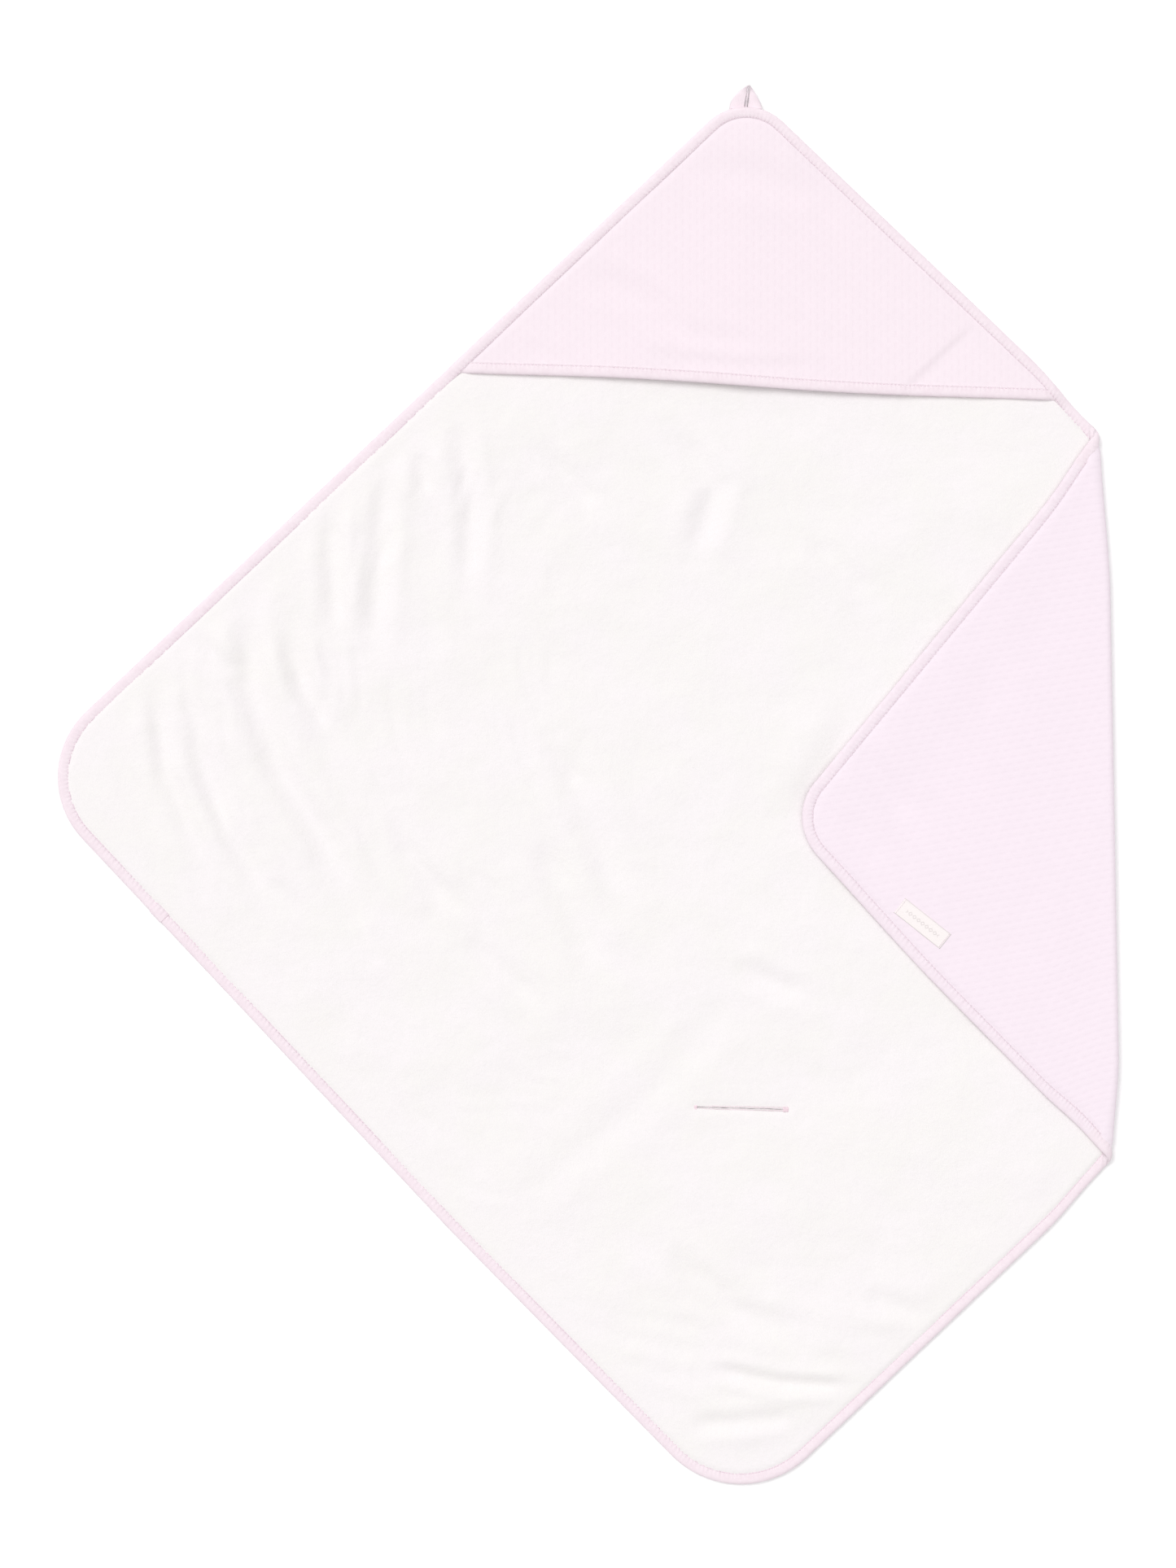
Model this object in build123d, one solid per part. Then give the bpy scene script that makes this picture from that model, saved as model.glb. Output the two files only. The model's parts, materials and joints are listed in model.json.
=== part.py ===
"""Hooded baby towel: a woven outer fabric and a plush lining, bound all round with folded tape.

The towel lies flat on Z = 0 with its hood corner towards +Y. Its right corner is folded over onto the
lining. Each corner of the sheet turns about a fold line, so the layers are cut along those lines into
a centre and four corners. Lengths are in millimetres. Every layer is drawn flat first; the right
corner is then turned over, and the whole towel is moved so that its origin is at the middle of its
bounding box, on the floor.
"""

import os
from functools import lru_cache
from math import sqrt

from build123d import *

# The sheet as it was cut, and how far each corner lies from the cut square's own corner. Each edge
# eases outwards by a few millimetres at one point: how far along it from its first corner, and by how much.
SIDE = 900.0
LAY_SHIFT = {"hood": (1, 3), "left": (-9, 27), "foot": (-6, -5), "right": (-15, -4)}
CORNER_RADIUS = {"hood": 48.0, "left": 80.0, "foot": 86.0, "right": 48.0}
CORNER_ORDER = ("hood", "left", "foot", "right")
EDGE_EASE = {"hood": (0.45, 0.0), "left": (0.6, 5.0), "foot": (0.505, 16.0), "right": (0.51, 18.0)}

# Layers of the sheet, from the floor up. Sewn into the binding they are pressed thinner.
OUTER_THICKNESS = 1.6
LINING_THICKNESS = 3.4
OUTER_PRESSED = 1.0
LINING_PRESSED = 1.5

# The folded tape that binds every edge, and the thread that holds it.
BINDING_WIDTH = 10.5
BINDING_WALL = 0.8
BINDING_EDGE_RADIUS = 1.6
THREAD_HEIGHT = 0.3
THREAD_WIDTH = 0.6
THREAD_FROM_TAPE_EDGE = 1.2
LAP_LENGTH = 14.0
LAP_WALL = 0.3
LAP_FROM_LEFT_CORNER = 174.0

# The hood: a second, triangular panel sewn to the hood corner's two edges, open along its hem.
HOOD_LEG_LEFT = 371.0
HOOD_LEG_RIGHT = 407.0
HOOD_RISE = 9.0
HOOD_CLEARANCE = 0.05
HOOD_LINING_THICKNESS = 1.4
HOOD_OUTER_THICKNESS = 1.6
HEM_LINING_PRESSED = 1.0
HEM_OUTER_PRESSED = 1.4
HEM_WIDTH = 10.5

# The slot in the sheet that a harness strap passes through.
SLOT_LENGTH = 80.0
SLOT_OPENING = 4.6
SLOT_ABOVE_FOOT_FOLD = 97.0
SLOT_WELT = 1.8
BAR_TACK_LENGTH = 1.8
BAR_TACK_OVERHANG = 0.5

# The woven label on the outer fabric of the right corner.
LABEL_LENGTH = 52.0
LABEL_WIDTH = 16.5
LABEL_THICKNESS = 0.4
LABEL_FROM_RIGHT_CORNER = 152.0
LABEL_FROM_EDGE = 23.5
LABEL_TURN = -7.0
LABEL_STITCH_INSET = 1.6
LABEL_THREAD_HEIGHT = 0.25

# The hanging loop of flat tape at the hood's tip.
LOOP_WIDTH = 29.0
LOOP_HEIGHT = 21.0
LOOP_TIP_OFFSET = 3.0
LOOP_THICKNESS = 1.8
LOOP_EYE_WIDTH = 4.6
LOOP_EYE_LENGTH = 14.0
LOOP_EYE_START = 3.0
LOOP_GAP = 0.3
LOOP_TAIL_LENGTH = 6.0
LOOP_TAIL_THICKNESS = 0.8

# Where the sheet folds. Each fold starts a set distance past its neighbour, along the towel's edge.
FOLD_GAP = 0.6
FOLD_CLEARANCE = 0.3
HOOD_FOLD_BELOW_HEM = 11.4
RIGHT_FOLD_PAST_HOOD_FOLD = 20.0
RIGHT_FOLD_SLANT = 0.018
LEFT_FOLD_PAST_HOOD_FOLD = 52.0
FOOT_FOLD_PAST_LEFT_FOLD = 108.0

SHEET_TOP = OUTER_THICKNESS + LINING_THICKNESS
BINDING_LOW = THREAD_HEIGHT
CAVITY_LOW = BINDING_LOW + BINDING_WALL
OUTER_RIM_TOP = CAVITY_LOW + OUTER_PRESSED
LINING_RIM_TOP = OUTER_RIM_TOP + LINING_PRESSED
BINDING_TOP = LINING_RIM_TOP + BINDING_WALL
HOOD_BASE = SHEET_TOP + HOOD_CLEARANCE
HOOD_FIELD_TOP = HOOD_LINING_THICKNESS + HOOD_OUTER_THICKNESS
HOOD_RIM_MIDDLE = HOOD_BASE + HOOD_LINING_THICKNESS / 2
HOOD_RIM_TOP = HOOD_BASE + HOOD_LINING_THICKNESS + HOOD_OUTER_THICKNESS / 3
HEM_MIDDLE = BINDING_WALL + HEM_LINING_PRESSED
HEM_TOP = HEM_MIDDLE + HEM_OUTER_PRESSED
HINGE_HEIGHT = max(SHEET_TOP, BINDING_TOP + THREAD_HEIGHT) + FOLD_CLEARANCE
REACH = 3 * SIDE
UP = Vector(0, 0, 1)


def corner_points():
    """The sheet's four corners before rounding, in plan, round the outline."""
    half_diagonal = SIDE / sqrt(2)
    square = {"hood": (0, 1), "left": (-1, 0), "foot": (0, -1), "right": (1, 0)}
    return {
        name: Vector(x * half_diagonal, y * half_diagonal) + Vector(*LAY_SHIFT[name])
        for name, (x, y) in square.items()
    }


CORNERS = corner_points()


def eased_point(start_name, end_name):
    """The point where the edge between two corners eases outwards."""
    fraction, distance = EDGE_EASE[start_name]
    chord = CORNERS[end_name] - CORNERS[start_name]
    outwards = chord.normalized().cross(UP)
    return CORNERS[start_name] + chord * fraction + outwards * distance


def edge_pairs():
    """Each corner with the next one round the outline."""
    return list(zip(CORNER_ORDER, CORNER_ORDER[1:] + CORNER_ORDER[:1]))


@lru_cache(maxsize=None)
def outline(inset=0.0):
    """The towel's rounded outline as a face, moved inwards by inset."""
    points = []
    for start_name, end_name in edge_pairs():
        points += [CORNERS[start_name], eased_point(start_name, end_name)]
    sheet = make_face(Polyline(*points, close=True))
    for name, point in CORNERS.items():
        corner = sheet.vertices().sort_by_distance(point)[0]
        sheet = fillet(corner, CORNER_RADIUS[name])
    return offset(sheet, -inset) if inset else sheet


def prism(face, low, high):
    """The face drawn up from height low to height high."""
    return Pos(0, 0, low) * extrude(face, amount=high - low)


def rim(outer_inset, inner_inset, low, high):
    """A band that follows the outline, between two insets and two heights."""
    return prism(outline(outer_inset) - outline(inner_inset), low, high)


class Line:
    """A directed line in plan. Its left side, seen from above, is its outer side."""

    def __init__(self, start, end):
        self.start = Vector(start)
        self.along = (Vector(end) - self.start).normalized()
        self.outward = UP.cross(self.along)

    def moved(self, distance):
        """The same line, moved to its outer side."""
        start = self.start + self.outward * distance
        return Line(start, start + self.along)

    def outside(self, shift=0.0):
        """A block that fills the outer side, from shift past the line."""
        frame = Plane(origin=self.start, x_dir=self.along, z_dir=UP)
        block = Box(REACH, REACH, REACH, align=(Align.CENTER, Align.MIN, Align.CENTER))
        return frame * Pos(0, shift, 0) * block

    def distance(self, point):
        """How far a point lies on the outer side."""
        return (Vector(point) - self.start).dot(self.outward)

    def crossing(self, other):
        """Where this line meets another."""
        steps = -other.distance(self.start) / self.along.dot(other.outward)
        return self.start + self.along * steps


def edge(start_name, end_name):
    """The straight stretch of the sheet's edge that leaves one corner for another."""
    pair = (start_name, end_name) if (start_name, end_name) in edge_pairs() else (end_name, start_name)
    return Line(CORNERS[start_name], eased_point(*pair))


def hem_ends():
    """Where the hood's hem meets the sheet's two edges."""
    left = CORNERS["hood"] + edge("hood", "left").along * HOOD_LEG_LEFT
    right = CORNERS["hood"] + edge("hood", "right").along * HOOD_LEG_RIGHT
    return left, right


def ridge_line():
    """The line from the hood's tip down the middle of the hood."""
    left_leg, right_leg = edge("hood", "left"), edge("hood", "right")
    return Line(CORNERS["hood"], CORNERS["hood"] + left_leg.along + right_leg.along)


def fold_lines():
    """The four lines that the corners turn about, each with its corner on the outer side."""
    left_leg, right_leg = edge("hood", "left"), edge("hood", "right")
    below_hem = min(end.Y for end in hem_ends()) - HOOD_FOLD_BELOW_HEM
    hood = Line((CORNERS["hood"].X, below_hem), (CORNERS["hood"].X + 1, below_hem))
    right_start = right_leg.crossing(hood) + right_leg.along * RIGHT_FOLD_PAST_HOOD_FOLD
    right = Line(right_start, right_start + Vector(RIGHT_FOLD_SLANT, -1))
    left_start = left_leg.crossing(hood) + left_leg.along * LEFT_FOLD_PAST_HOOD_FOLD
    left = Line(left_start, left_start + Vector(0, 1))
    low_edge = edge("left", "foot")
    foot_start = low_edge.crossing(left) + low_edge.along * FOOT_FOLD_PAST_LEFT_FOLD
    foot = Line(foot_start, foot_start - Vector(1, 0))
    return {"hood": hood, "left": left, "foot": foot, "right": right}


HEM = Line(*hem_ends())
FOLDS = fold_lines()


def slot_middle():
    """The middle of the harness slot, straight below the hood's tip."""
    return Vector(CORNERS["hood"].X, FOLDS["foot"].start.Y + SLOT_ABOVE_FOOT_FOLD)


def slot_face(border):
    """The harness slot with a border round it."""
    stadium = SlotOverall(SLOT_LENGTH + 2 * border, SLOT_OPENING + 2 * border)
    return Pos(slot_middle()) * stadium


# ---------------------------------------------------------------- the flat sheet


def sheet_layer(low, high, rim_low, rim_high):
    """One layer of the sheet: full thickness inside, pressed thinner where the tape grips it."""
    field = prism(outline(BINDING_WIDTH) - slot_face(SLOT_WELT), low, high)
    return field + rim(BINDING_WALL, BINDING_WIDTH, rim_low, rim_high)


def outer_fabric():
    return sheet_layer(0, OUTER_THICKNESS, CAVITY_LOW, OUTER_RIM_TOP)


def lining():
    return sheet_layer(OUTER_THICKNESS, SHEET_TOP, OUTER_RIM_TOP, LINING_RIM_TOP)


def tape(cavity_top):
    """The binding as a band folded round the layers' rim, with a softly rounded outer edge."""
    top = cavity_top + BINDING_WALL
    band = prism(outline(), BINDING_LOW, top)
    outer_edges = band.faces().sort_by(Axis.Z)[0].edges() + band.faces().sort_by(Axis.Z)[-1].edges()
    band = fillet(outer_edges, BINDING_EDGE_RADIUS)
    band = band - prism(outline(BINDING_WIDTH), 0, top + 1)
    return band - rim(BINDING_WALL, BINDING_WIDTH, CAVITY_LOW, cavity_top)


def thread_line(low):
    """The stitching that holds the tape, as one fine bead along the tape's inner edge."""
    inner = BINDING_WIDTH - THREAD_FROM_TAPE_EDGE
    return rim(inner - THREAD_WIDTH, inner, low, low + THREAD_HEIGHT)


def lap_block(grow=0.0):
    """The stretch of edge where the tape's two ends lap over each other."""
    left_edge = edge("left", "foot")
    middle = left_edge.start + left_edge.along * LAP_FROM_LEFT_CORNER
    frame = Plane(origin=middle, x_dir=left_edge.along, z_dir=UP)
    return frame * Box(LAP_LENGTH + 2 * grow, 4 * BINDING_WIDTH, REACH)


def binding_lap():
    """The turned-under end of the tape, wrapped over its start."""
    low, high = BINDING_LOW - LAP_WALL, BINDING_TOP + LAP_WALL
    wrap = prism(offset(outline(), LAP_WALL) - outline(BINDING_WIDTH), low, high)
    body = prism(outline() - outline(BINDING_WIDTH), BINDING_LOW, BINDING_TOP)
    return (wrap - body) & lap_block()


# ---------------------------------------------------------------- the hood panel


class HoodHalf:
    """One sloping half of the hood, from a sewn leg up to the middle ridge."""

    def __init__(self, leg, side):
        inner = leg.moved(side * BINDING_WIDTH)
        uphill = leg.outward * side
        rise = HOOD_RISE / (inner.distance(ridge_line().crossing(HEM)) * side)
        base = inner.start + UP * HOOD_BASE
        self.frame = Plane(origin=base, x_dir=inner.along, z_dir=UP - uphill * rise)
        self.side = side

    def slab(self, low, high):
        """A sloping plate between two heights above the hood's underside."""
        block = Box(REACH, REACH, high - low, align=(Align.CENTER, Align.CENTER, Align.MIN))
        return (self.frame * Pos(0, 0, low) * block) & self.half()

    def half(self):
        """Everything on this half's side of the ridge."""
        block = ridge_line().outside()
        return block if self.side < 0 else Box(REACH, REACH, REACH) - block


def hood_halves():
    return [HoodHalf(edge("hood", "left"), 1), HoodHalf(edge("hood", "right"), -1)]


def hood_plan(inset, from_hem, to_hem=None):
    """The hood's plan inside an inset, between two distances from its hem, as a tall block."""
    block = prism(outline(inset), -REACH / 4, REACH / 4) & HEM.outside(from_hem)
    return block if to_hem is None else block - HEM.outside(to_hem)


def hood_layer(low, high, hem_low, hem_high, rim_low, rim_high):
    """One layer of the hood: sloping field, hem pressed into its tape, rim pressed into the edge tape."""
    field = hood_plan(BINDING_WIDTH, HEM_WIDTH)
    hem = hood_plan(BINDING_WIDTH, BINDING_WALL, HEM_WIDTH)
    layer = rim(BINDING_WALL, BINDING_WIDTH, rim_low, rim_high) & HEM.outside()
    for half in hood_halves():
        layer = layer + (half.slab(low, high) & field) + (half.slab(hem_low, hem_high) & hem)
    return layer


def hood_lining():
    return hood_layer(
        0, HOOD_LINING_THICKNESS, BINDING_WALL, HEM_MIDDLE, LINING_RIM_TOP, HOOD_RIM_MIDDLE
    )


def hood_outer():
    return hood_layer(
        HOOD_LINING_THICKNESS, HOOD_FIELD_TOP, HEM_MIDDLE, HEM_TOP, HOOD_RIM_MIDDLE, HOOD_RIM_TOP
    )


def hem_binding():
    """The tape folded round the hood's open edge."""
    band = hood_plan(BINDING_WIDTH, 0, HEM_WIDTH)
    grip = hood_plan(BINDING_WIDTH, BINDING_WALL, HEM_WIDTH)
    solids = [
        (half.slab(0, HEM_TOP + BINDING_WALL) & band) - (half.slab(BINDING_WALL, HEM_TOP) & grip)
        for half in hood_halves()
    ]
    return solids[0] + solids[1]


def hem_thread():
    """The stitching of the hem's tape."""
    inner = HEM_WIDTH - THREAD_FROM_TAPE_EDGE
    line = hood_plan(BINDING_WIDTH, inner - THREAD_WIDTH, inner)
    top = HEM_TOP + BINDING_WALL
    halves = [half.slab(top, top + THREAD_HEIGHT) & line for half in hood_halves()]
    return halves[0] + halves[1]


# ---------------------------------------------------------------- the loop, slot and label


def loop_base():
    """The middle of the hood's rounded tip, where the loop leaves the binding."""
    top = outline().bounding_box().max.Y
    return Vector(CORNERS["hood"].X, top)


def loop_face():
    """The flat tape turned into a pointed loop, seen from above, standing just clear of Y = 0."""
    half = LOOP_WIDTH / 2
    tip = (LOOP_TIP_OFFSET, LOOP_HEIGHT)
    left_side = ThreePointArc((-half, LOOP_GAP), (-half * 0.62, LOOP_HEIGHT * 0.6), tip)
    right_side = ThreePointArc(tip, (half * 0.68, LOOP_HEIGHT * 0.46), (half, LOOP_GAP))
    base = Polyline((half, LOOP_GAP), (-half, LOOP_GAP))
    return make_face(left_side + right_side + base)


def loop_eye(grow=0.0):
    """The narrow eye between the loop's two legs."""
    middle = LOOP_EYE_START + LOOP_EYE_LENGTH / 2
    eye = Rot(0, 0, 90) * SlotOverall(LOOP_EYE_LENGTH + 2 * grow, LOOP_EYE_WIDTH + 2 * grow)
    return Pos(LOOP_TIP_OFFSET / 3, middle) * eye


def hanging_loop():
    base = loop_base()
    face = Pos(base.X, base.Y) * (loop_face() - loop_eye())
    middle = (BINDING_LOW + HOOD_RIM_TOP + BINDING_WALL) / 2
    return prism(face, middle - LOOP_THICKNESS / 2, middle + LOOP_THICKNESS / 2)


def loop_tails():
    """The loop's two ends, sewn in under the binding between the outer fabric and the lining."""
    base = loop_base()
    leg = (LOOP_WIDTH - LOOP_EYE_WIDTH) / 2
    ends = Box(leg, 4 * LOOP_TAIL_LENGTH, LOOP_TAIL_THICKNESS, align=(Align.MIN, Align.CENTER, Align.MIN))
    solids = Pos(LOOP_EYE_WIDTH / 2, 0) * ends + Pos(-LOOP_EYE_WIDTH / 2 - leg, 0) * ends
    band = rim(BINDING_WALL, BINDING_WALL + LOOP_TAIL_LENGTH, 0, REACH)
    return (Pos(base.X, base.Y, OUTER_RIM_TOP) * solids) & band


def slot_welt():
    """The stitched border round the harness slot, through both layers."""
    return prism(slot_face(SLOT_WELT) - slot_face(0), 0, SHEET_TOP)


def slot_stitching():
    """The whip stitching on the slot's border."""
    edge_inset = (SLOT_WELT - THREAD_WIDTH) / 2
    ring = slot_face(SLOT_WELT - edge_inset) - slot_face(edge_inset)
    return prism(ring, SHEET_TOP, SHEET_TOP + THREAD_HEIGHT)


def bar_tacks():
    """The dense stitched bars that close the slot's two ends."""
    width = SLOT_OPENING + 2 * (SLOT_WELT + BAR_TACK_OVERHANG)
    bar = Box(BAR_TACK_LENGTH, width, THREAD_HEIGHT, align=(Align.CENTER, Align.CENTER, Align.MIN))
    reach = SLOT_LENGTH / 2 + SLOT_WELT + BAR_TACK_LENGTH / 2
    middle = slot_middle() + UP * SHEET_TOP
    return Pos(middle + Vector(reach, 0)) * bar + Pos(middle - Vector(reach, 0)) * bar


def label_frame():
    """The label's middle and direction on the outer fabric, which faces the floor when flat."""
    low_edge = edge("right", "foot")
    point = low_edge.start + low_edge.along * LABEL_FROM_RIGHT_CORNER
    inwards = low_edge.outward if low_edge.distance(CORNERS["hood"]) > 0 else -low_edge.outward
    frame = Plane(origin=point + inwards * LABEL_FROM_EDGE, x_dir=low_edge.along, z_dir=-UP)
    return frame.rotated((0, 0, LABEL_TURN))


def woven_label():
    plate = Box(LABEL_LENGTH, LABEL_WIDTH, LABEL_THICKNESS, align=(Align.CENTER, Align.CENTER, Align.MIN))
    return label_frame() * plate


def label_stitching():
    """One seam across each end of the label."""
    width = LABEL_WIDTH - 2 * LABEL_STITCH_INSET
    seam = Box(THREAD_WIDTH, width, LABEL_THREAD_HEIGHT, align=(Align.CENTER, Align.CENTER, Align.MIN))
    reach = LABEL_LENGTH / 2 - LABEL_STITCH_INSET
    seams = Pos(reach, 0, LABEL_THICKNESS) * seam + Pos(-reach, 0, LABEL_THICKNESS) * seam
    return label_frame() * seams


# ---------------------------------------------------------------- cutting at the folds


def corner_of(solid, name):
    """The part of a flat solid beyond one fold line."""
    return solid & FOLDS[name].outside(FOLD_GAP / 2)


def centre_of(solid):
    """The part of a flat solid inside all four fold lines."""
    for fold in FOLDS.values():
        solid = solid - fold.outside(-FOLD_GAP / 2)
    return solid


def fold_axis(name):
    """The line that a corner turns about, along its fold and just above the towel."""
    fold = FOLDS[name]
    return Axis(fold.start + UP * HINGE_HEIGHT, fold.along)


def turned_over(solid):
    """A solid of the right corner, folded over onto the lining."""
    return solid.rotate(fold_axis("right"), 180)


def hood_edge_binding():
    """The edge tape of the hood corner: deep where it also grips the hood, shallow below the hem."""
    deep = tape(HOOD_RIM_TOP) & HEM.outside()
    shallow = tape(LINING_RIM_TOP) - HEM.outside()
    return corner_of(deep + shallow, "hood")


def hood_edge_thread():
    """The hood corner's edge stitching, on the raised tape and on its underside."""
    raised = thread_line(HOOD_RIM_TOP + BINDING_WALL) & HEM.outside()
    level = thread_line(BINDING_TOP) - HEM.outside()
    return corner_of(raised + level + thread_line(0), "hood")


def build():
    """Every node by name, at rest, before the origin is moved."""
    outer, plush, binding = outer_fabric(), lining(), tape(LINING_RIM_TOP)
    tails = loop_tails()
    threads = thread_line(0) + thread_line(BINDING_TOP)
    lap = binding_lap()
    nodes = {
        "centre_outer": centre_of(outer),
        "centre_lining": centre_of(plush),
        "centre_edge_binding": centre_of(binding),
        "centre_edge_stitching": centre_of(threads),
        "slot_welt": slot_welt(),
        "slot_stitching": slot_stitching(),
        "slot_bar_tacks": bar_tacks(),
        "hood_back_outer": corner_of(outer, "hood"),
        "hood_back_lining": corner_of(plush, "hood") - tails,
        "hood_panel_outer": hood_outer(),
        "hood_panel_lining": hood_lining(),
        "hood_hem_binding": hem_binding(),
        "hood_hem_stitching": hem_thread(),
        "hood_edge_binding": hood_edge_binding(),
        "hood_edge_stitching": hood_edge_thread(),
        "hanging_loop_tails": tails,
        "hanging_loop": hanging_loop(),
        "left_edge_lap": lap,
    }
    for name in ("left", "foot", "right"):
        nodes[f"{name}_outer"] = corner_of(outer, name)
        nodes[f"{name}_lining"] = corner_of(plush, name)
        nodes[f"{name}_edge_binding"] = corner_of(binding, name)
        nodes[f"{name}_edge_stitching"] = corner_of(threads, name)
    nodes["left_edge_stitching"] = nodes["left_edge_stitching"] - lap_block(FOLD_CLEARANCE)
    nodes["woven_label"] = woven_label()
    nodes["woven_label_stitching"] = label_stitching()
    for name in [n for n in nodes if n.startswith(("right_", "woven_"))]:
        nodes[name] = turned_over(nodes[name])
    return nodes


def origin_of(nodes):
    """The middle of the towel's bounding box, on the floor."""
    box = Compound(children=[Part(node.wrapped) for node in nodes.values()]).bounding_box()
    return Vector(box.center().X, box.center().Y, box.min.Z)


def placed(nodes):
    """The nodes with the origin where it belongs, and how far they were moved."""
    origin = origin_of(nodes)
    shift = Location(-origin)
    return {name: node.moved(shift) for name, node in nodes.items()}, origin


def write(nodes, folder="parts"):
    os.makedirs(folder, exist_ok=True)
    for name, node in nodes.items():
        solids = node.solids()
        shape = solids[0] if len(solids) == 1 else Compound(children=list(solids))
        export_step(shape, os.path.join(folder, f"{name}.step"))


NODES, ORIGIN = placed(build())

if __name__ == "__main__":
    write(NODES)
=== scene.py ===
"""Looks for a hooded baby towel: plush lining, woven outer fabric, bound edges, hood, loop, slot and label.

The towel is made flat, as cut, and then laid: its right corner is turned over onto the lining. Lengths in
the make-up are in millimetres and are turned into metres when a piece is finished.
"""

import json
import math

import bmesh
import bpy
import numpy as np
from mathutils import Matrix, Vector


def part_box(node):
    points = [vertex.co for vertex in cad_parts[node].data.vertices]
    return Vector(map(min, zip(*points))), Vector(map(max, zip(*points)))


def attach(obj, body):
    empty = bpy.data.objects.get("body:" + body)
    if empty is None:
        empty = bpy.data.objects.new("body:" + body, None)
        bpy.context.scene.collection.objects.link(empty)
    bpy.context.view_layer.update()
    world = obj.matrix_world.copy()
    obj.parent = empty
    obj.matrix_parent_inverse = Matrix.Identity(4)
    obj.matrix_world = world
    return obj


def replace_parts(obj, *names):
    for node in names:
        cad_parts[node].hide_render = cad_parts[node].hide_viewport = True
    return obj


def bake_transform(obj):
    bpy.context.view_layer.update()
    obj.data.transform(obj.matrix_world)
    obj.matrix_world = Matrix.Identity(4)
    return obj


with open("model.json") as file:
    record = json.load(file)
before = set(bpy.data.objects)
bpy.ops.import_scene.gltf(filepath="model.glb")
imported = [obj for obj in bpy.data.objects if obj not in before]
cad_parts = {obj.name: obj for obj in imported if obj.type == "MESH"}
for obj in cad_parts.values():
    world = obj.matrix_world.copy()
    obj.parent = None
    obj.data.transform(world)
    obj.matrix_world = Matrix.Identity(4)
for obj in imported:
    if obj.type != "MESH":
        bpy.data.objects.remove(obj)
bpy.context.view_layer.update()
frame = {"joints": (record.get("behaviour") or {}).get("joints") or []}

MM = 0.001
JOINTS = {joint["name"]: joint for joint in frame["joints"]}


def joint_point(name):
    return np.array(JOINTS[name]["pos_m"]) / MM


def box_middle(node):
    low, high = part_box(node)
    return np.array((low + high) / 2) / MM


# Where the towel lies: everything is set out from the harness slot and the right corner's fold.
SLOT = box_middle("slot_welt")
HINGE = joint_point("right_corner_fold")
RIGHT_SLANT = JOINTS["right_corner_fold"]["axis"][0]

# The cut sheet's corners, from the slot's middle, with their rounding, and where each edge eases outwards.
CORNERS = {
    "hood": np.array([0.0, 913.3]) + SLOT[:2],
    "left": np.array([-646.4, 300.9]) + SLOT[:2],
    "foot": np.array([-7.0, -367.5]) + SLOT[:2],
    "right": np.array([620.4, 269.9]) + SLOT[:2],
}
ROUNDING = {"hood": 48.0, "left": 80.0, "foot": 86.0, "right": 48.0}
EASED_ROUNDING = 260.0
EASING = {"hood": (0.45, 0.0), "left": (0.6, 5.0), "foot": (0.505, 16.0), "right": (0.51, 18.0)}
ORDER = ["hood", "left", "foot", "right"]

# Where the finished slot's opening lies: the cloth has crept a little from where it was cut.
OPENING = SLOT[:2] + np.array([-5.2, 2.5])

# The folded tape: its width, where across it the nose ends and the seam lies, how finely it is made, and
# its width round both faces, in metres.
TAPE_WIDTH = 10.5
NOSE_SHARE, SEAM_SHARE = 0.36, 0.86
TAPE_STEP, TAPE_FACETS = 2.4, 26
TAPE_GIRTH = 0.024

# The cloth: its usual heights, its grid's spacing and how far the tape covers its edge.
SHEET_TOP = 5.0
PLUSH_TOP = 5.7
HOOD_EDGE_TOP, HOOD_TOP = 6.6, 8.2
CELL = 3.0
EDGE_TUCK = 4.5

# Where the cloth and the tape are split into stretches, and how far each side of the fold the roll reaches.
MIDDLE_HIGH, MIDDLE_LOW = 317.0, -350.0
TOP_SPLIT = 321.5
ROLL_REACH = 24.0
ROLL_ARC = 7.5
HOOD_LEG_LEFT, HOOD_LEG_RIGHT = 371.0, 407.0

FULL_TURN = 6.283
FAR = 1e9


# ---------------------------------------------------------------- small helpers


def smooth(t):
    t = np.clip(t, 0.0, 1.0)
    return t * t * (3 - 2 * t)


def unit(v):
    return v / np.linalg.norm(v)


def easing_point(name, following):
    """Where the edge from one corner to the next eases outwards."""
    along = CORNERS[following] - CORNERS[name]
    outward = unit(np.array([along[1], -along[0]]))
    share, distance = EASING[name]
    return CORNERS[name] + along * share + outward * distance


def round_outline():
    """The sheet's outline with rounded corners, as closely spaced points, counter-clockwise from the hood."""
    points, radii = [], []
    for name, following in zip(ORDER, ORDER[1:] + ORDER[:1]):
        points += [CORNERS[name], easing_point(name, following)]
        radii += [ROUNDING[name], EASED_ROUNDING]
    path = []
    count = len(points)
    for i, (corner, radius) in enumerate(zip(points, radii)):
        back, ahead = unit(points[i - 1] - corner), unit(points[(i + 1) % count] - corner)
        half = math.acos(np.clip(back @ ahead, -1, 1)) / 2
        if half > math.pi / 2 - 0.002:
            path.append(corner)
            continue
        reach = radius / math.tan(half)
        middle = corner + unit(back + ahead) * radius / math.sin(half)
        first, last = corner + back * reach - middle, corner + ahead * reach - middle
        turn = math.atan2(first[0] * last[1] - first[1] * last[0], first @ last)
        for step in np.linspace(0, 1, 25):
            c, s = math.cos(turn * step), math.sin(turn * step)
            path.append(middle + np.array([c * first[0] - s * first[1], s * first[0] + c * first[1]]))
    return np.array(path + [path[0]])


OUTLINE = round_outline()
RIM_STEPS = np.concatenate([[0], np.cumsum(np.linalg.norm(np.diff(OUTLINE, axis=0), axis=1))])
RIM_LENGTH = RIM_STEPS[-1]


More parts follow.
